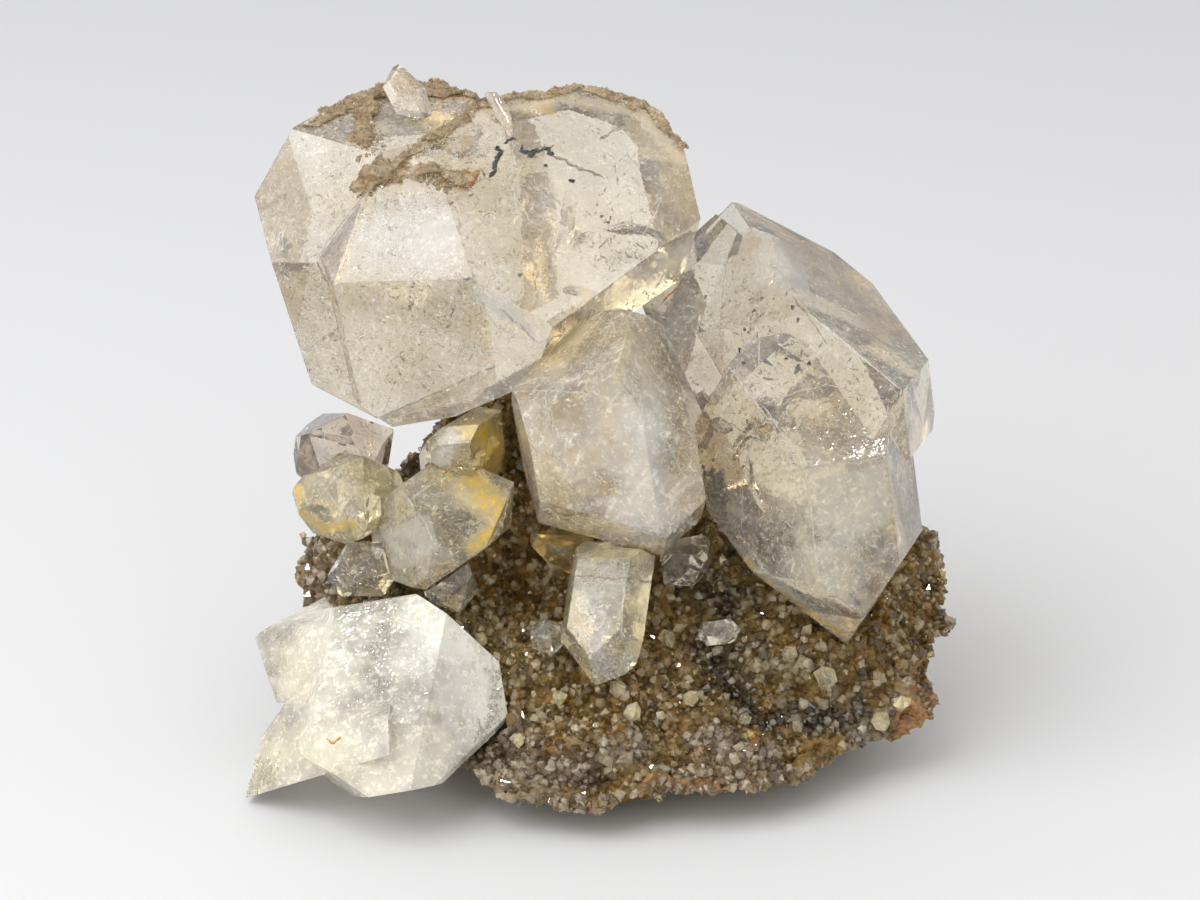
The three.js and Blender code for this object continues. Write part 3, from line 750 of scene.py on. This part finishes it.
# Per crystal: clusters, hair cracks, white specks, larger curved cracks, and the specks' size.
INNER = {
    "twin_crystal": (44, 1200, 6600, 8, 1),
    "right_crystal": (36, 1000, 5500, 8, 1),
    "centre_crystal": (18, 500, 3300, 4, 1),
    "front_crystal": (18, 600, 3800, 14, 1.3),
    "golden_tip_crystal": (10, 300, 1400, 3, 1),
    "golden_rear_crystal": (5, 150, 400, 1, 1),
    "yellow_left_crystal": (6, 200, 600, 1, 1),
    "smoky_crystal": (5, 60, 150, 0, 1),
    "clear_left_crystal": (4, 50, 50, 0, 1),
    "clear_low_crystal": (4, 50, 50, 0, 1),
    "small_prism": (7, 120, 500, 0, 1),
}
# How far matter strays along a plane and across it, and how deep it stays at least.
HAIRS_MM = (4.5, 1.2, 0.5)
SPECKS_MM = (4.0, 0.5, 0.25)
SKIN_MM = (0.25, 2.2)  # depths of the specks under the surface
# Radii from the first number to the sum of two, the large ones rarer by the power of the third.
HAIR_RADII_MM = (0.2, 1.1, 2.2)
SPECK_RADII_MM = (0.06, 0.5, 3)
STAINED_SHARE = 0.18  # of the specks, stained beige by iron
SHEET_RINGS = 5
SHEET_STEPS = 18
SHEET_BEND = 0.18  # over its radius
SHEET_THICKNESS_MM = 0.04


def healed_planes(solid, count, random):
    """Random planes inside a solid, each a middle, a normal and two directions across it."""
    planes = []
    for _ in range(count):
        middle = np.array(solid.random_inside(random, 1))
        normal = unit(random.normal(size=3))
        side, across = (v[0] for v in frames_along(normal[None], random))
        planes.append((middle, normal, side, across, random.uniform(0.25, 1.0)))
    return planes


def scattered(solid, planes, count, random, ranges_mm):
    """Points inside a solid that lie along planes, with the normals of those planes."""
    spread_mm, thick_mm, margin_mm = ranges_mm
    points, normals = [], []
    while len(points) < count:
        middle, normal, side, across, narrow = planes[random.integers(len(planes))]
        u, v, w = random.normal(size=3) * (spread_mm, spread_mm * narrow, thick_mm) * MM
        bend = (u * u - v * v) * 0.03 / MM
        point = middle + side * u + across * v + normal * (w + bend)
        if solid.depth(point) > margin_mm * MM:
            points.append(point)
            normals.append(normal)
    return np.array(points), np.array(normals)


def under_surface(solid, count, random):
    """Points a little way under a solid's surface, with the surface normals there."""
    mesh = frame["nodes"][solid.name].data
    points, normals = sample_surface(mesh, count, random, lambda c, n: np.ones(len(c)))
    points = points - normals * random.uniform(*SKIN_MM, (count, 1)) * MM
    inside = [solid.depth(point) > 0.15 * MM for point in points]
    return points[inside], normals[inside]


def crack_sheet(centre, normal, radius, random):
    """A thin curved crack with a ragged rim: its points and faces."""
    side, across = (v[0] for v in frames_along(normal[None], random))
    turns = np.arange(SHEET_STEPS) * 2 * math.pi / SHEET_STEPS
    ragged = 1 + 0.25 * np.sin(3 * turns + random.uniform(0, 6))
    ragged += 0.12 * random.normal(size=SHEET_STEPS)
    squeeze = random.uniform(0.3, 0.8)
    phase = random.uniform(0, 6, 2)
    rings = [centre[None]]
    for ring in range(1, SHEET_RINGS + 1):
        reach = radius * ring / SHEET_RINGS * ragged
        u = reach * np.cos(turns)
        v = reach * np.sin(turns) * squeeze
        bend = radius * SHEET_BEND * np.sin(2.2 * u / radius + phase[0])
        bend *= np.cos(2 * v / radius + phase[1])
        rings.append(centre + np.outer(u, side) + np.outer(v, across) + np.outer(bend, normal))
    middle = np.concatenate(rings)
    lift = normal * SHEET_THICKNESS_MM / 2 * MM
    inner = len(middle) - SHEET_STEPS
    # Both sides share the corners of the rim.
    below = [len(middle) + i if i < inner else i for i in range(len(middle))]
    faces = []
    for k in range(SHEET_STEPS):
        after = (k + 1) % SHEET_STEPS
        faces.append((0, 1 + k, 1 + after))
        for ring in range(SHEET_RINGS - 1):
            a, b = 1 + ring * SHEET_STEPS + k, 1 + ring * SHEET_STEPS + after
            faces.append((a, a + SHEET_STEPS, b + SHEET_STEPS))
            faces.append((a, b + SHEET_STEPS, b))
    faces += [tuple(below[i] for i in reversed(face)) for face in faces]
    return np.concatenate([middle + lift, middle[:inner] - lift]), faces


def make_inner():
    random = np.random.default_rng(5)
    crack = crack_material()
    white, stained = matter_material("white_veil"), matter_material("stained_veil")
    for name, (plane_count, hair_count, speck_count, sheet_count, size) in INNER.items():
        solid, slot = solids[name], SLOT_OF[name]
        planes = healed_planes(solid, plane_count, random)
        points, normals = scattered(solid, planes, hair_count, random, HAIRS_MM)
        radii = sizes_of(len(points), random, *HAIR_RADII_MM)
        normals = strayed(normals, random, 0.8)
        mesh = flakes(name, points, normals, radii, random, (0.05, 0.35))
        add_piece(name + "_hair_cracks", mesh, crack)
        points, normals = scattered(solid, planes, speck_count, random, SPECKS_MM)
        skin, outward = under_surface(solid, speck_count // 2, random)
        order = random.permutation(len(skin) + len(points))
        points = np.concatenate([skin, points])[order]
        normals = np.concatenate([outward, normals])[order]
        radii = sizes_of(len(points), random, *SPECK_RADII_MM) * size
        normals = strayed(normals, random, 0.7)
        cut = round(len(points) * STAINED_SHARE)
        shares = (("stained", slice(cut), stained), ("white", slice(cut, None), white))
        for kind, part, material in shares:
            mesh = flakes(name, points[part], normals[part], radii[part], random, (0.08, 0.5))
            add_piece(f"{name}_{kind}_veils", mesh, material)
        sheets = []
        while len(sheets) < sheet_count:
            centre = solid.random_inside(random, 1.5)
            radius = min(random.uniform(2.5, 6) * MM, solid.depth(centre) * 0.9)
            normal = unit(random.normal(size=3))
            sheets.append(crack_sheet(np.array(centre), normal, radius, random))
        if sheets:
            add_piece(name + "_cracks", joined_mesh(name, sheets), crack)


# Streaks: material, half-width in pixels, depth in mm, pixels along it. Those of a slightly
# negative depth lie on the surface.
STREAKS = """
    twin_crystal
        white 1 0.6  508,175 513,192 517,210 522,228
        white 0.9 0.4  503,110 509,130 513,150 516,170
        clay 1 0.2  366,194 340,226 316,259
        clay 1 0.2  316,259 325,278 334,294
        white 1 0.4  470,286 500,330 540,342 574,330
        white 0.8 0.5  345,345 400,330 480,352 502,352
        white 0.8 0.3  400,196 408,215 420,245 431,270
        carbon 2.6 -0.06  497,145 502,152 495,162 492,177
        carbon 1.8 -0.04  504,143 512,139 516,138
        carbon 3 -0.06  522,148 529,156 538,152 546,148 553,155
        clay 1.8 -0.04  553,156 566,161 582,170 604,178
        carbon 1.8 0.08  462,278 474,279
        clay 0.8 0.8  521,186 533,197 544,206
        white 0.8 1  528,183 540,194 552,204
        clay 0.8 0.6  537,186 549,197 560,204
        white 0.7 1.2  515,200 524,212 530,226
        iron 1.6 -0.03  590,345 560,361 530,378 510,392
        white 0.7 1.5  600,150 622,168 640,190
        white 0.9 1  640,240 655,215 662,195
        clay 1.2 0.5  500,308 520,325 536,341
    right_crystal
        iron 1.2 -0.03  656,292 668,276 680,262
        iron 1 -0.03  662,303 672,292 681,284
        white 1.2 0.5  805,305 835,336 868,362 900,388
        white 0.9 0.8  830,318 860,345 895,372
        clay 1 0.5  793,298 812,320 828,345
        white 1.2 0.4  905,385 912,410 915,440
        clay 1.8 0.8  700,292 688,300 672,308
        clay 0.9 0.8  724,420 735,424 745,432
        white 1 0.2  808,472 812,520 818,580
        white 1 0.2  763,405 785,438 808,472
        white 1.1 0.2  808,472 848,464 886,457
        white 1 0.2  886,457 889,430 888,402
        white 0.8 0.3  763,405 796,393 828,385 888,402
        white 0.8 0.2  886,457 900,484 914,506
        white 0.8 0.4  763,405 744,470 742,530
        white 0.7 1.2  840,480 850,520 846,560
        white 0.8 0.4  758,240 760,300 758,372
    centre_crystal
        white 1.1 0.15  507,391 550,391 593,394
        white 0.8 0.2  593,394 600,360 607,338
        white 0.8 0.3  593,394 604,440 616,486
        white 1.2 0.6  545,395 551,420 556,450 565,470
        white 0.9 0.3  640,356 656,420 690,490
        white 1.2 0.8  605,400 628,378 645,390
        white 1.4 1  622,410 636,392 650,380
        white 0.9 1.2  600,440 622,470 634,500
    small_prism
        clay 1.2 -0.03  568,577 590,576 612,579 634,578 655,583
        white 0.8 0.15  578,556 600,548 622,548 642,545
        white 0.9 0.15  623,550 624,590 621,640
        white 0.7 0.4  588,583 605,582 615,584
    golden_tip_crystal
        iron_gold 2.2 0.1  446,470 452,484 460,500
        iron_gold 1.6 0.1  462,466 472,476 486,490
        white 1.2 0.4  470,462 480,472 492,484
        iron_gold 1.4 0.1  478,524 488,508 502,492
        iron_gold 1.4 0.1  458,506 474,500 490,502
        white 1.5 0.15  497,536 504,514 509,492
        white 1.2 0.3  384,560 392,530 404,506
        white 1.1 0.3  410,500 430,486 452,474
        white 1.3 0.3  418,514 426,524 432,540
        white 1.2 0.3  400,490 408,500 414,508
    front_crystal
        white 1.4 0.5  345,650 380,640 420,655
        white 1.3 0.3  300,700 340,730 385,745
        white 1.2 0.6  430,660 455,690 470,730
        white 1.2 0.3  345,668 380,660 424,651
        white 1 0.4  349,664 380,648 416,634
        white 1.6 0.15  386,720 402,706 420,695
        white 1.4 0.15  386,722 389,735 387,748
        white 1.2 0.2  445,613 438,630 446,660
        white 1.6 0.15  473,740 482,725 488,708 497,700
        white 1.4 0.15  480,750 490,735 500,722
        clay 1.2 0.2  299,693 287,698 273,701
        iron 1.2 -0.03  325,738 333,744 341,736
        iron_gold 1.2 0.15  286,724 280,740 268,752
"""
# Plates just under single facets, which change that facet's tone: depth in mm, kind, corners by
# pixel. The smoke plate paints shade onto a facet. The frosty and film plates make a facet paler
# and milkier.
PLATES = """
    twin_crystal
        0.5 smoke  364,198 319,258 334,289
        0.7 frosty  470,286 512,300 540,338 500,318
    right_crystal
        0.8 frosty  812,478 884,462 892,520 822,560
        0.6 frosty  770,236 800,250 812,300 778,290
    centre_crystal
        0.6 film  514,398 596,394 600,440 528,452
        0.9 frosty  612,416 648,380 668,420 640,452
    front_crystal
        0.3 frosty  352,728 386,722 387,758 356,748
        0.9 film  392,660 430,656 440,690 400,694
    golden_tip_crystal
        0.6 frosty  380,530 430,515 440,550 400,572
"""
PLATE_THICKNESS_MM = 0.03
PLATE_SHARE = 0.96  # of the size that its corners give
CARBON_DEPTH_MM = 0.6
CARBON_SPECKS = """
    twin_crystal
        524,275 550,212 558,227 600,215 540,168 575,185
    right_crystal
        759,309 790,308 763,320 800,321 744,329 775,329 762,358 750,365 790,367
        805,363 820,367 745,357 782,362
"""


def make_streaks():
    random = np.random.default_rng(23)
    materials = {kind: matter_material(kind) for kind in ("carbon", "clay", "iron", "iron_gold")}
    materials["white"] = matter_material("white_streak")
    groups = {}
    for name, (kind, half_width, depth_mm), pixels in rows_of(STREAKS):
        line = along_row(pixels, np.linspace(0, len(pixels) - 1, 4 * len(pixels)))
        line += random.normal(size=line.shape) * half_width * 0.5
        points = [solids[name].behind(pixel, depth_mm) for pixel in line]
        points = np.array([p for p in points if p is not None])
        widths = half_width * PIXEL * random.uniform(0.35, 1.2, len(points))
        widths[[0, -1]] *= 0.2
        groups.setdefault((name, kind), []).append(thread(points, widths))
    for name, _, pixels in rows_of(CARBON_SPECKS):
        for pixel in pixels:
            stray = random.normal(size=(3, 3)) * 0.35 * MM
            points = np.array(solids[name].behind(pixel, CARBON_DEPTH_MM)) + np.cumsum(stray, 0)
            widths = np.array([0.08, 0.26, 0.1]) * MM * random.uniform(0.7, 1.4)
            groups.setdefault((name, "carbon"), []).append(thread(points, widths))
    add_groups(groups, "streaks", materials)


def plate(corners, normal):
    """A thin flat plate: its points and faces."""
    lift = normal * PLATE_THICKNESS_MM / 2 * MM
    count = len(corners)
    faces = [(0, i, i + 1) for i in range(1, count - 1)]
    faces += [(count, count + i + 1, count + i) for i in range(1, count - 1)]
    for i in range(count):
        after = (i + 1) % count
        faces.append((i, i + count, after + count, after))
    return np.concatenate([corners + lift, corners - lift]), faces


def make_plates():
    materials = {kind: matter_material(kind) for kind in ("smoke", "film", "frosty")}
    groups = {}
    # The smoke plate paints shade onto a facet.
    for name, (depth_mm, kind), pixels in rows_of(PLATES):
        corners = np.array([solids[name].behind(pixel, depth_mm) for pixel in pixels])
        corners = corners.mean(0) + (corners - corners.mean(0)) * PLATE_SHARE
        normal = unit(np.cross(corners[1] - corners[0], corners[2] - corners[0]))
        groups.setdefault((name, kind), []).append(plate(corners, normal))
    add_groups(groups, "planes", materials)


# Sugary grains: tint, half-width in pixels, count, least and most radius in mm, pixels.
FROST = """
    centre_crystal
        pale 9 260 0.12 0.4  610,536 650,536 692,522
    small_prism
        pale 15 200 0.1 0.35  592,662 632,672
    right_crystal
        grey 12 260 0.15 0.5  716,470 724,536
        pale 10 60 0.1 0.3  822,618 842,626
    front_crystal
        pale 9 200 0.12 0.4  498,664 494,712 478,742
        yellow 16 260 0.1 0.35  256,790 268,762
    twin_crystal
        crust 13 640 0.12 0.34  330,118 352,100 410,93 440,91 470,98
        crust 13 220 0.12 0.34  376,112 374,150
        gold 8 330 0.1 0.26  398,164 440,134 488,100
        crust 12 160 0.2 0.45  366,180 390,170
        crust 10 160 0.2 0.45  426,176 462,182
        gold 4 260 0.08 0.2  505,103 560,97 610,100 650,116 682,150
        iron 4 30 0.2 0.4  370,93 375,94
"""


def make_frost():
    random = np.random.default_rng(31)
    for number, (name, words, row) in enumerate(rows_of(FROST)):
        tint, half_width, count, *size_mm = words
        pixels = along_row(row, random.uniform(0, len(row) - 1, int(count)))
        pixels += random.normal(size=pixels.shape) * 0.5 * half_width
        seen = filter(None, map(solids[name].seen_at, pixels))
        points, normals = (np.array(column) for column in zip(*seen))
        radii = random.uniform(*size_mm, len(points)) * MM
        directions = strayed(normals, random, 0.5)
        mesh = grains(name, points - normals * radii[:, None] * 0.7, directions, radii, random)
        material = matter_material(tint + "_grain", f"frost_{number}")
        add_piece(f"{name}_frost_{number}", mesh, material)


# ---------- rock and druse ----------

ROCK_VOXEL_MM = 0.6
ROCK_RELIEF = ((1.9, 0.15, 0.6), (0.6, 0.6, 0.3))  # depth_mm, features per mm, share inwards
ROCK_MIDDLE_MM = (3, 2)
RIM_SECTORS = 72
DRUSE_GRAINS = 17000
DRUSE_PIECES = 2
DRUSE_FROM_MM = 3  # above the floor
DRUSE_RADII_MM = (0.38, 0.5, 2.2)
GRAIN_TONES = ((0.87, 0.62, 0.21), (0.97, 0.78, 0.38))
RIM_TONE = (0.97, 0.80, 0.56)
# Broken rock without druse: half-width in pixels, pixels along it.
BARE = """
    20  905,735 922,700 938,660
    6  645,779 700,782 758,786
"""
# Regions of the druse: half-width in pixels, colour, pixels along each. The four darkest rows are
# painted shade in hollows and low places. The row from 760,664 is painted light on a ledge. The
# golden row and the pale rows at the rim are the druse's own colour.
REGION_TONES_PAINTED_SHADE_AND_LIGHT = """
    26 0.2 0.15 0.08  715,640 728,690
    20 0.2 0.16 0.1  745,706 800,716 862,708
    11 0.12 0.09 0.06  868,676 873,690
    26 0.26 0.18 0.09  690,570 740,605
    22 0.99 0.88 0.6  760,664 800,670 840,684
    44 0.78 0.52 0.14  500,570 545,600
    22 0.98 0.92 0.8  870,725 910,700
    22 0.98 0.84 0.68  700,735 800,775
    28 0.94 0.8 0.58  540,770 640,750
"""


def rim_share(points):
    """How far out each point lies on the rock: 0 at its middle, 1 at its outline from above."""

    def polar(flat):
        away = flat - np.array(ROCK_MIDDLE_MM) * MM
        turn = np.arctan2(away[:, 1], away[:, 0]) / (2 * math.pi) % 1
        return (turn * RIM_SECTORS).astype(int) % RIM_SECTORS, np.linalg.norm(away, axis=1)

    outline = np.array([v.co for v in frame["nodes"]["druse_matrix"].data.vertices])[:, :2]
    reach = np.zeros(RIM_SECTORS)
    np.maximum.at(reach, *polar(outline))
    near = [[(i + k) % RIM_SECTORS for k in (-1, 0, 1)] for i in range(RIM_SECTORS)]
    reach = np.array([reach[sectors].mean() for sectors in near])
    sector, distance = polar(points[:, :2])
    return distance / reach[sector]


def row_distance(points, row):
    """Distance of many points to a row of points joined by straight lines."""
    best = np.full(len(points), np.inf)
    for a, b in zip(row, row[1:] or row):
        a, along = np.array(a), np.array(b) - np.array(a)
        share = np.clip((points - a) @ along / max(along @ along, 1e-12), 0, 1)
        best = np.minimum(best, np.linalg.norm(points - a - share[:, None] * along, axis=1))
    return best


def smooth_step(value, low, high):
    share = np.clip((value - low) / (high - low), 0, 1)
    return share * share * (3 - 2 * share)


def blend(share, a, b):
    return a + (np.array(b) - a) * share[:, None]


def ground_tones(points):
    """The druse's colour at many points: golden, paler at the rim, and the region tones, which
    paint shade into hollows and light onto a ledge.
    """
    drift = noise_at(points, 0.06)
    tone = blend(smooth_step(drift, -0.25, 0.25), np.array(GRAIN_TONES[0]), GRAIN_TONES[1])
    tone = blend(smooth_step(rim_share(points) + 0.1 * drift, 0.85, 0.98), tone, RIM_TONE)
    wobble = noise_at(points, 0.35)
    for _, (half_width, *region), pixels in rows_of(REGION_TONES_PAINTED_SHADE_AND_LIGHT):
        radius = half_width * PIXEL
        distance = row_distance(points, solids["druse_matrix"].traced(pixels))
        strayed = distance + wobble * radius * 0.8
        tone = blend(smooth_step(strayed, radius * 1.3, radius * 0.2), tone, region)
    return tone


def paint(mesh, tones):
    """Keeps a colour for each vertex as the attribute that the materials call tone."""
    attribute = mesh.attributes.new("tone", "FLOAT_COLOR", "POINT")
    rows = np.concatenate([tones, np.ones((len(tones), 1))], 1)
    attribute.data.foreach_set("color", rows.astype(np.float32).ravel())


def painted_tone(tree):
    return node(tree, "Attribute", attribute_name="tone").outputs["Color"]


def rock_material(bare):
    material, tree, place = blank_material("rock")
    coarse = noise_value(tree, place, 0.25, detail=4, roughness=0.65)
    fine = noise_value(tree, place, 1.5, detail=3, roughness=0.65)
    grain = maths(tree, "MULTIPLY_ADD", fine, 0.5, maths(tree, "MULTIPLY", coarse, 0.5))
    shade = span(tree, grain, 0.35, 0.65)
    colour = mix_colour(tree, shade, (0.09, 0.05, 0.018), painted_tone(tree))
    for points, radius in bare:
        mask = patch_mask(tree, place, coarse, points, radius * 1.3)
        rust = mix_colour(tree, shade, (0.14, 0.07, 0.025), (0.52, 0.28, 0.10))
        colour = mix_colour(tree, mask, colour, rust)
    inputs = {
        "Base Color": colour,
        "Roughness": span(tree, fine, 0.3, 0.7, 0.6, 0.9),
        "IOR": 1.5,
        "Normal": bump(tree, (grain, 0.3 * MM)),
    }
    return finish_material(material, inputs)


def druse_material():
    """Glassy grains in the ground's tone, some paler and less clear, some darker."""
    material, tree, place = blank_material("druse")
    island = node(tree, "NewGeometry").outputs["Random Per Island"]
    colour = painted_tone(tree)
    colour = mix_colour(tree, span(tree, island, 0.6, 1.0, 0.0, 0.75), colour, (0.97, 0.87, 0.66))
    colour = mix_colour(tree, span(tree, island, 0.0, 0.35, 0.6, 0.0), colour, (0.24, 0.14, 0.05))
    cloudy = span(tree, noise_value(tree, place, 0.8, detail=1), 0.5, 0.8, 0.0, 0.35)
    inputs = {
        "Base Color": mix_colour(tree, cloudy, colour, (0.7, 0.5, 0.26)),
        "Roughness": span(tree, island, 0.0, 1.0, 0.01, 0.06, smooth=False),
        "IOR": QUARTZ_IOR,
        "Transmission Weight": span(tree, island, 0.5, 1.0, 0.92, 0.6, smooth=False),
    }
    return finish_material(material, inputs)


def make_rock():
    random = np.random.default_rng(3)
    rock = roughened(remeshed("druse_matrix", ROCK_VOXEL_MM), ROCK_RELIEF)
    solid = solids["druse_matrix"]
    bare = [(solid.traced(pixels), width * PIXEL) for _, (width,), pixels in rows_of(BARE)]

    def is_top(centres, normals):
        return (normals[:, 2] > 0) & (centres[:, 2] > DRUSE_FROM_MM * MM)

    points, normals = sample_surface(rock, DRUSE_GRAINS, random, is_top)
    # The rock takes the same tones, darker, with their painted shade in hollows and painted light
    # on a ledge.
    paint(rock, 0.36 * ground_tones(vertex_arrays(rock)[0]) ** 1.6)  # darker than the grains
    add_piece("rock", rock, rock_material(bare), ("druse_matrix",))

    radii = sizes_of(len(points), random, *DRUSE_RADII_MM)
    clear = fits_box(points, radii)
    for row, width in bare:
        clear &= row_distance(points, row) > width
    kept = [i for i in np.flatnonzero(clear) if is_free(points[i], radii[i] * 0.8)]
    points, normals, radii = points[kept], normals[kept], radii[kept]
    tones = ground_tones(points)
    directions = strayed(normals, random, 0.45)
    material = druse_material()
    for part in range(DRUSE_PIECES):
        mine = np.arange(len(points)) % DRUSE_PIECES == part
        mesh = grains("druse", points[mine], directions[mine], radii[mine], random)
        paint(mesh, np.repeat(tones[mine], BODY_CORNERS, axis=0))
        add_piece(f"druse_points_{part + 1}", mesh, material)


# Larger single points on the druse: radius in mm, pixel.
LARGER_POINTS = """
    1.5 825,678
    1.3 620,690
    1.2 633,711
    1.1 690,697
    1.2 640,655
    1 480,640
    1.2 670,640
    1.4 596,560
    1.3 880,722
    1.2 902,706
    1.2 790,655
    1 560,700
    1 520,740
    0.9 745,720
"""


def make_larger_points():
    random = np.random.default_rng(41)
    rock = solids["druse_matrix"]
    rows = rows_of(LARGER_POINTS)
    rows = [(*rock.seen_at(pixel), radius) for _, (radius,), (pixel,) in rows]
    points, normals, radii = (np.array(column) for column in zip(*rows))
    directions = strayed(normals + np.array(VIEW_BACK) * 0.7, random, 0.3)
    mesh = grains("larger_points", points, directions, radii * MM, random)
    material = quartz_material("larger_points", DEEP_GOLDEN)
    add_piece("druse_larger_points", mesh, material)


# ---------- crust ----------

CRUST_GRAINS = {"crust_ridge": 500, "crust_rear": 400}
CRUST_HEIGHT = 0.5  # over the height of its solid above the twin
CRUST_RELIEF = ((0.16, 0.9, 0.3),)
CRUST_VOXEL_MM = 0.2
SUGAR_RADII_MM = (0.1, 0.18, 2)


def pressed(mesh, solid, share):
    """Brings what stands out of a solid nearer to its surface."""
    points, _ = vertex_arrays(mesh)
    for i, point in enumerate(points):
        near, normal, _, _ = solid.tree.find_nearest(Vector(point))
        away = Vector(point) - near
        if away.dot(normal) > 0:
            points[i] = near + away * share
    return move_vertices(mesh, points)


def crust_material(name, light, dark, transmission):
    material, tree, place = blank_material(name)
    coarse = noise_value(tree, place, 0.7, detail=6, roughness=0.65)
    fine = noise_value(tree, place, 4.0)
    colour = mix_colour(tree, span(tree, coarse, 0.35, 0.65), dark, light)
    rust = span(tree, noise_value(tree, place, 0.3), 0.62, 0.7)
    inputs = {
        "Base Color": mix_colour(tree, rust, colour, (0.70, 0.30, 0.03)),
        "Roughness": span(tree, fine, 0.3, 0.7, 0.15, 0.55),
        "IOR": 1.5,
        "Transmission Weight": transmission,
        "Normal": bump(tree, (coarse, 0.1 * MM), (fine, 0.04 * MM)),
    }
    return finish_material(material, inputs)


def make_crust():
    random = np.random.default_rng(17)
    body = crust_material("crust", (0.74, 0.59, 0.37), (0.46, 0.33, 0.19), 0.6)
    sugar = crust_material("crust_sugar", (0.86, 0.70, 0.46), (0.56, 0.42, 0.25), 0.7)
    for name, count in CRUST_GRAINS.items():
        mesh = pressed(remeshed(name, CRUST_VOXEL_MM), solids["twin_crystal"], CRUST_HEIGHT)
        mesh = roughened(mesh, CRUST_RELIEF)
        points, normals = sample_surface(mesh, count, random, lambda c, n: n[:, 2] > -0.8)
        add_piece(name + "_body", mesh, body, (name,))
        radii = sizes_of(count, random, *SUGAR_RADII_MM)
        directions = strayed(normals, random, 0.5)
        fits = fits_box(points, radii)
        mesh = grains(name, points[fits], directions[fits], radii[fits], random)
        add_piece(name + "_sugar", mesh, sugar)


# ---------- studio ----------

TENT_COLOUR = (1.0, 0.985, 0.96, 1)
TENT_LEVEL = 0.77
FRONT_GLOW = 0.25  # on top of the level, from in front and a little above
# Painted shade: the floor's colour darkens and turns bluer from near to far, for the light falling
# off towards the back.
FLOOR_NEAR = (0.775, 0.785, 0.805)
FLOOR_FAR_PAINTED_SHADE = (0.64, 0.65, 0.695)
FLOOR_REACH = 3


def make_world():
    """A light tent: near white all round, and a little brighter in front."""
    world = bpy.data.worlds.new("tent")
    scene.world = world
    world.use_nodes = True
    tree = world.node_tree
    tree.nodes.clear()
    direction = node(tree, "TexCoord").outputs["Generated"]
    front = Vector((0, -0.95, 0.3)).normalized()
    facing = vector_maths(tree, "DOT_PRODUCT", direction, front, "Value")
    glow = span(tree, facing, 0.3, 0.95, 0.0, FRONT_GLOW)
    inputs = {"Color": TENT_COLOUR, "Strength": maths(tree, "ADD", glow, TENT_LEVEL)}
    background = node(tree, "Background", inputs).outputs["Background"]
    node(tree, "OutputWorld", {"Surface": background})


def make_light(name, place, size, watts, glints_only=False):
    data = bpy.data.lights.new(name, "AREA")
    data.energy = watts
    data.size = size
    light = new_object(name, data)
    light.location = place
    aim = Vector((0, 0, 0.03)) - light.location
    light.rotation_euler = aim.to_track_quat("-Z", "Y").to_euler()
    light.visible_diffuse = not glints_only


def make_lights():
    make_light("key", (-0.39, -0.22, 0.57), 0.6, 2.8)
    make_light("spark_left", (-0.20, -0.35, 0.60), 0.09, 1.4, glints_only=True)
    make_light("spark_right", (0.25, -0.20, 0.65), 0.09, 1.2, glints_only=True)


def make_floor():
    corners = np.array([(-1, -1, 0), (1, -1, 0), (1, 1, 0), (-1, 1, 0)]) * FLOOR_REACH
    mesh = mesh_of("floor", corners, [(0, 1, 2, 3)])
    material, tree, place = blank_material("floor")
    depth = node(tree, "SeparateXYZ", {"Vector": place}).outputs["Y"]
    # Painted shade: darker and bluer towards the back.
    colour = mix_colour(tree, span(tree, depth, -0.1, 0.5), FLOOR_NEAR, FLOOR_FAR_PAINTED_SHADE)
    mesh.materials.append(finish_material(material, {"Base Color": colour, "Roughness": 0.6}))
    floor = new_object("floor", mesh)


def set_render():
    """Few bounces, since the light tent is bright all round."""
    scene.cycles.max_bounces = 8
    scene.cycles.transmission_bounces = 8
    scene.cycles.glossy_bounces = 3
    scene.cycles.diffuse_bounces = 2
    scene.cycles.transparent_max_bounces = 12
    scene.cycles.sample_clamp_indirect = 8
    scene.cycles.light_sampling_threshold = 0.03
    scene.view_settings.view_transform = "Standard"


make_camera()
make_world()
make_lights()
make_floor()
make_crystals()
make_inner()
make_streaks()
make_plates()
make_frost()
make_crust()
make_rock()
make_larger_points()
set_render()
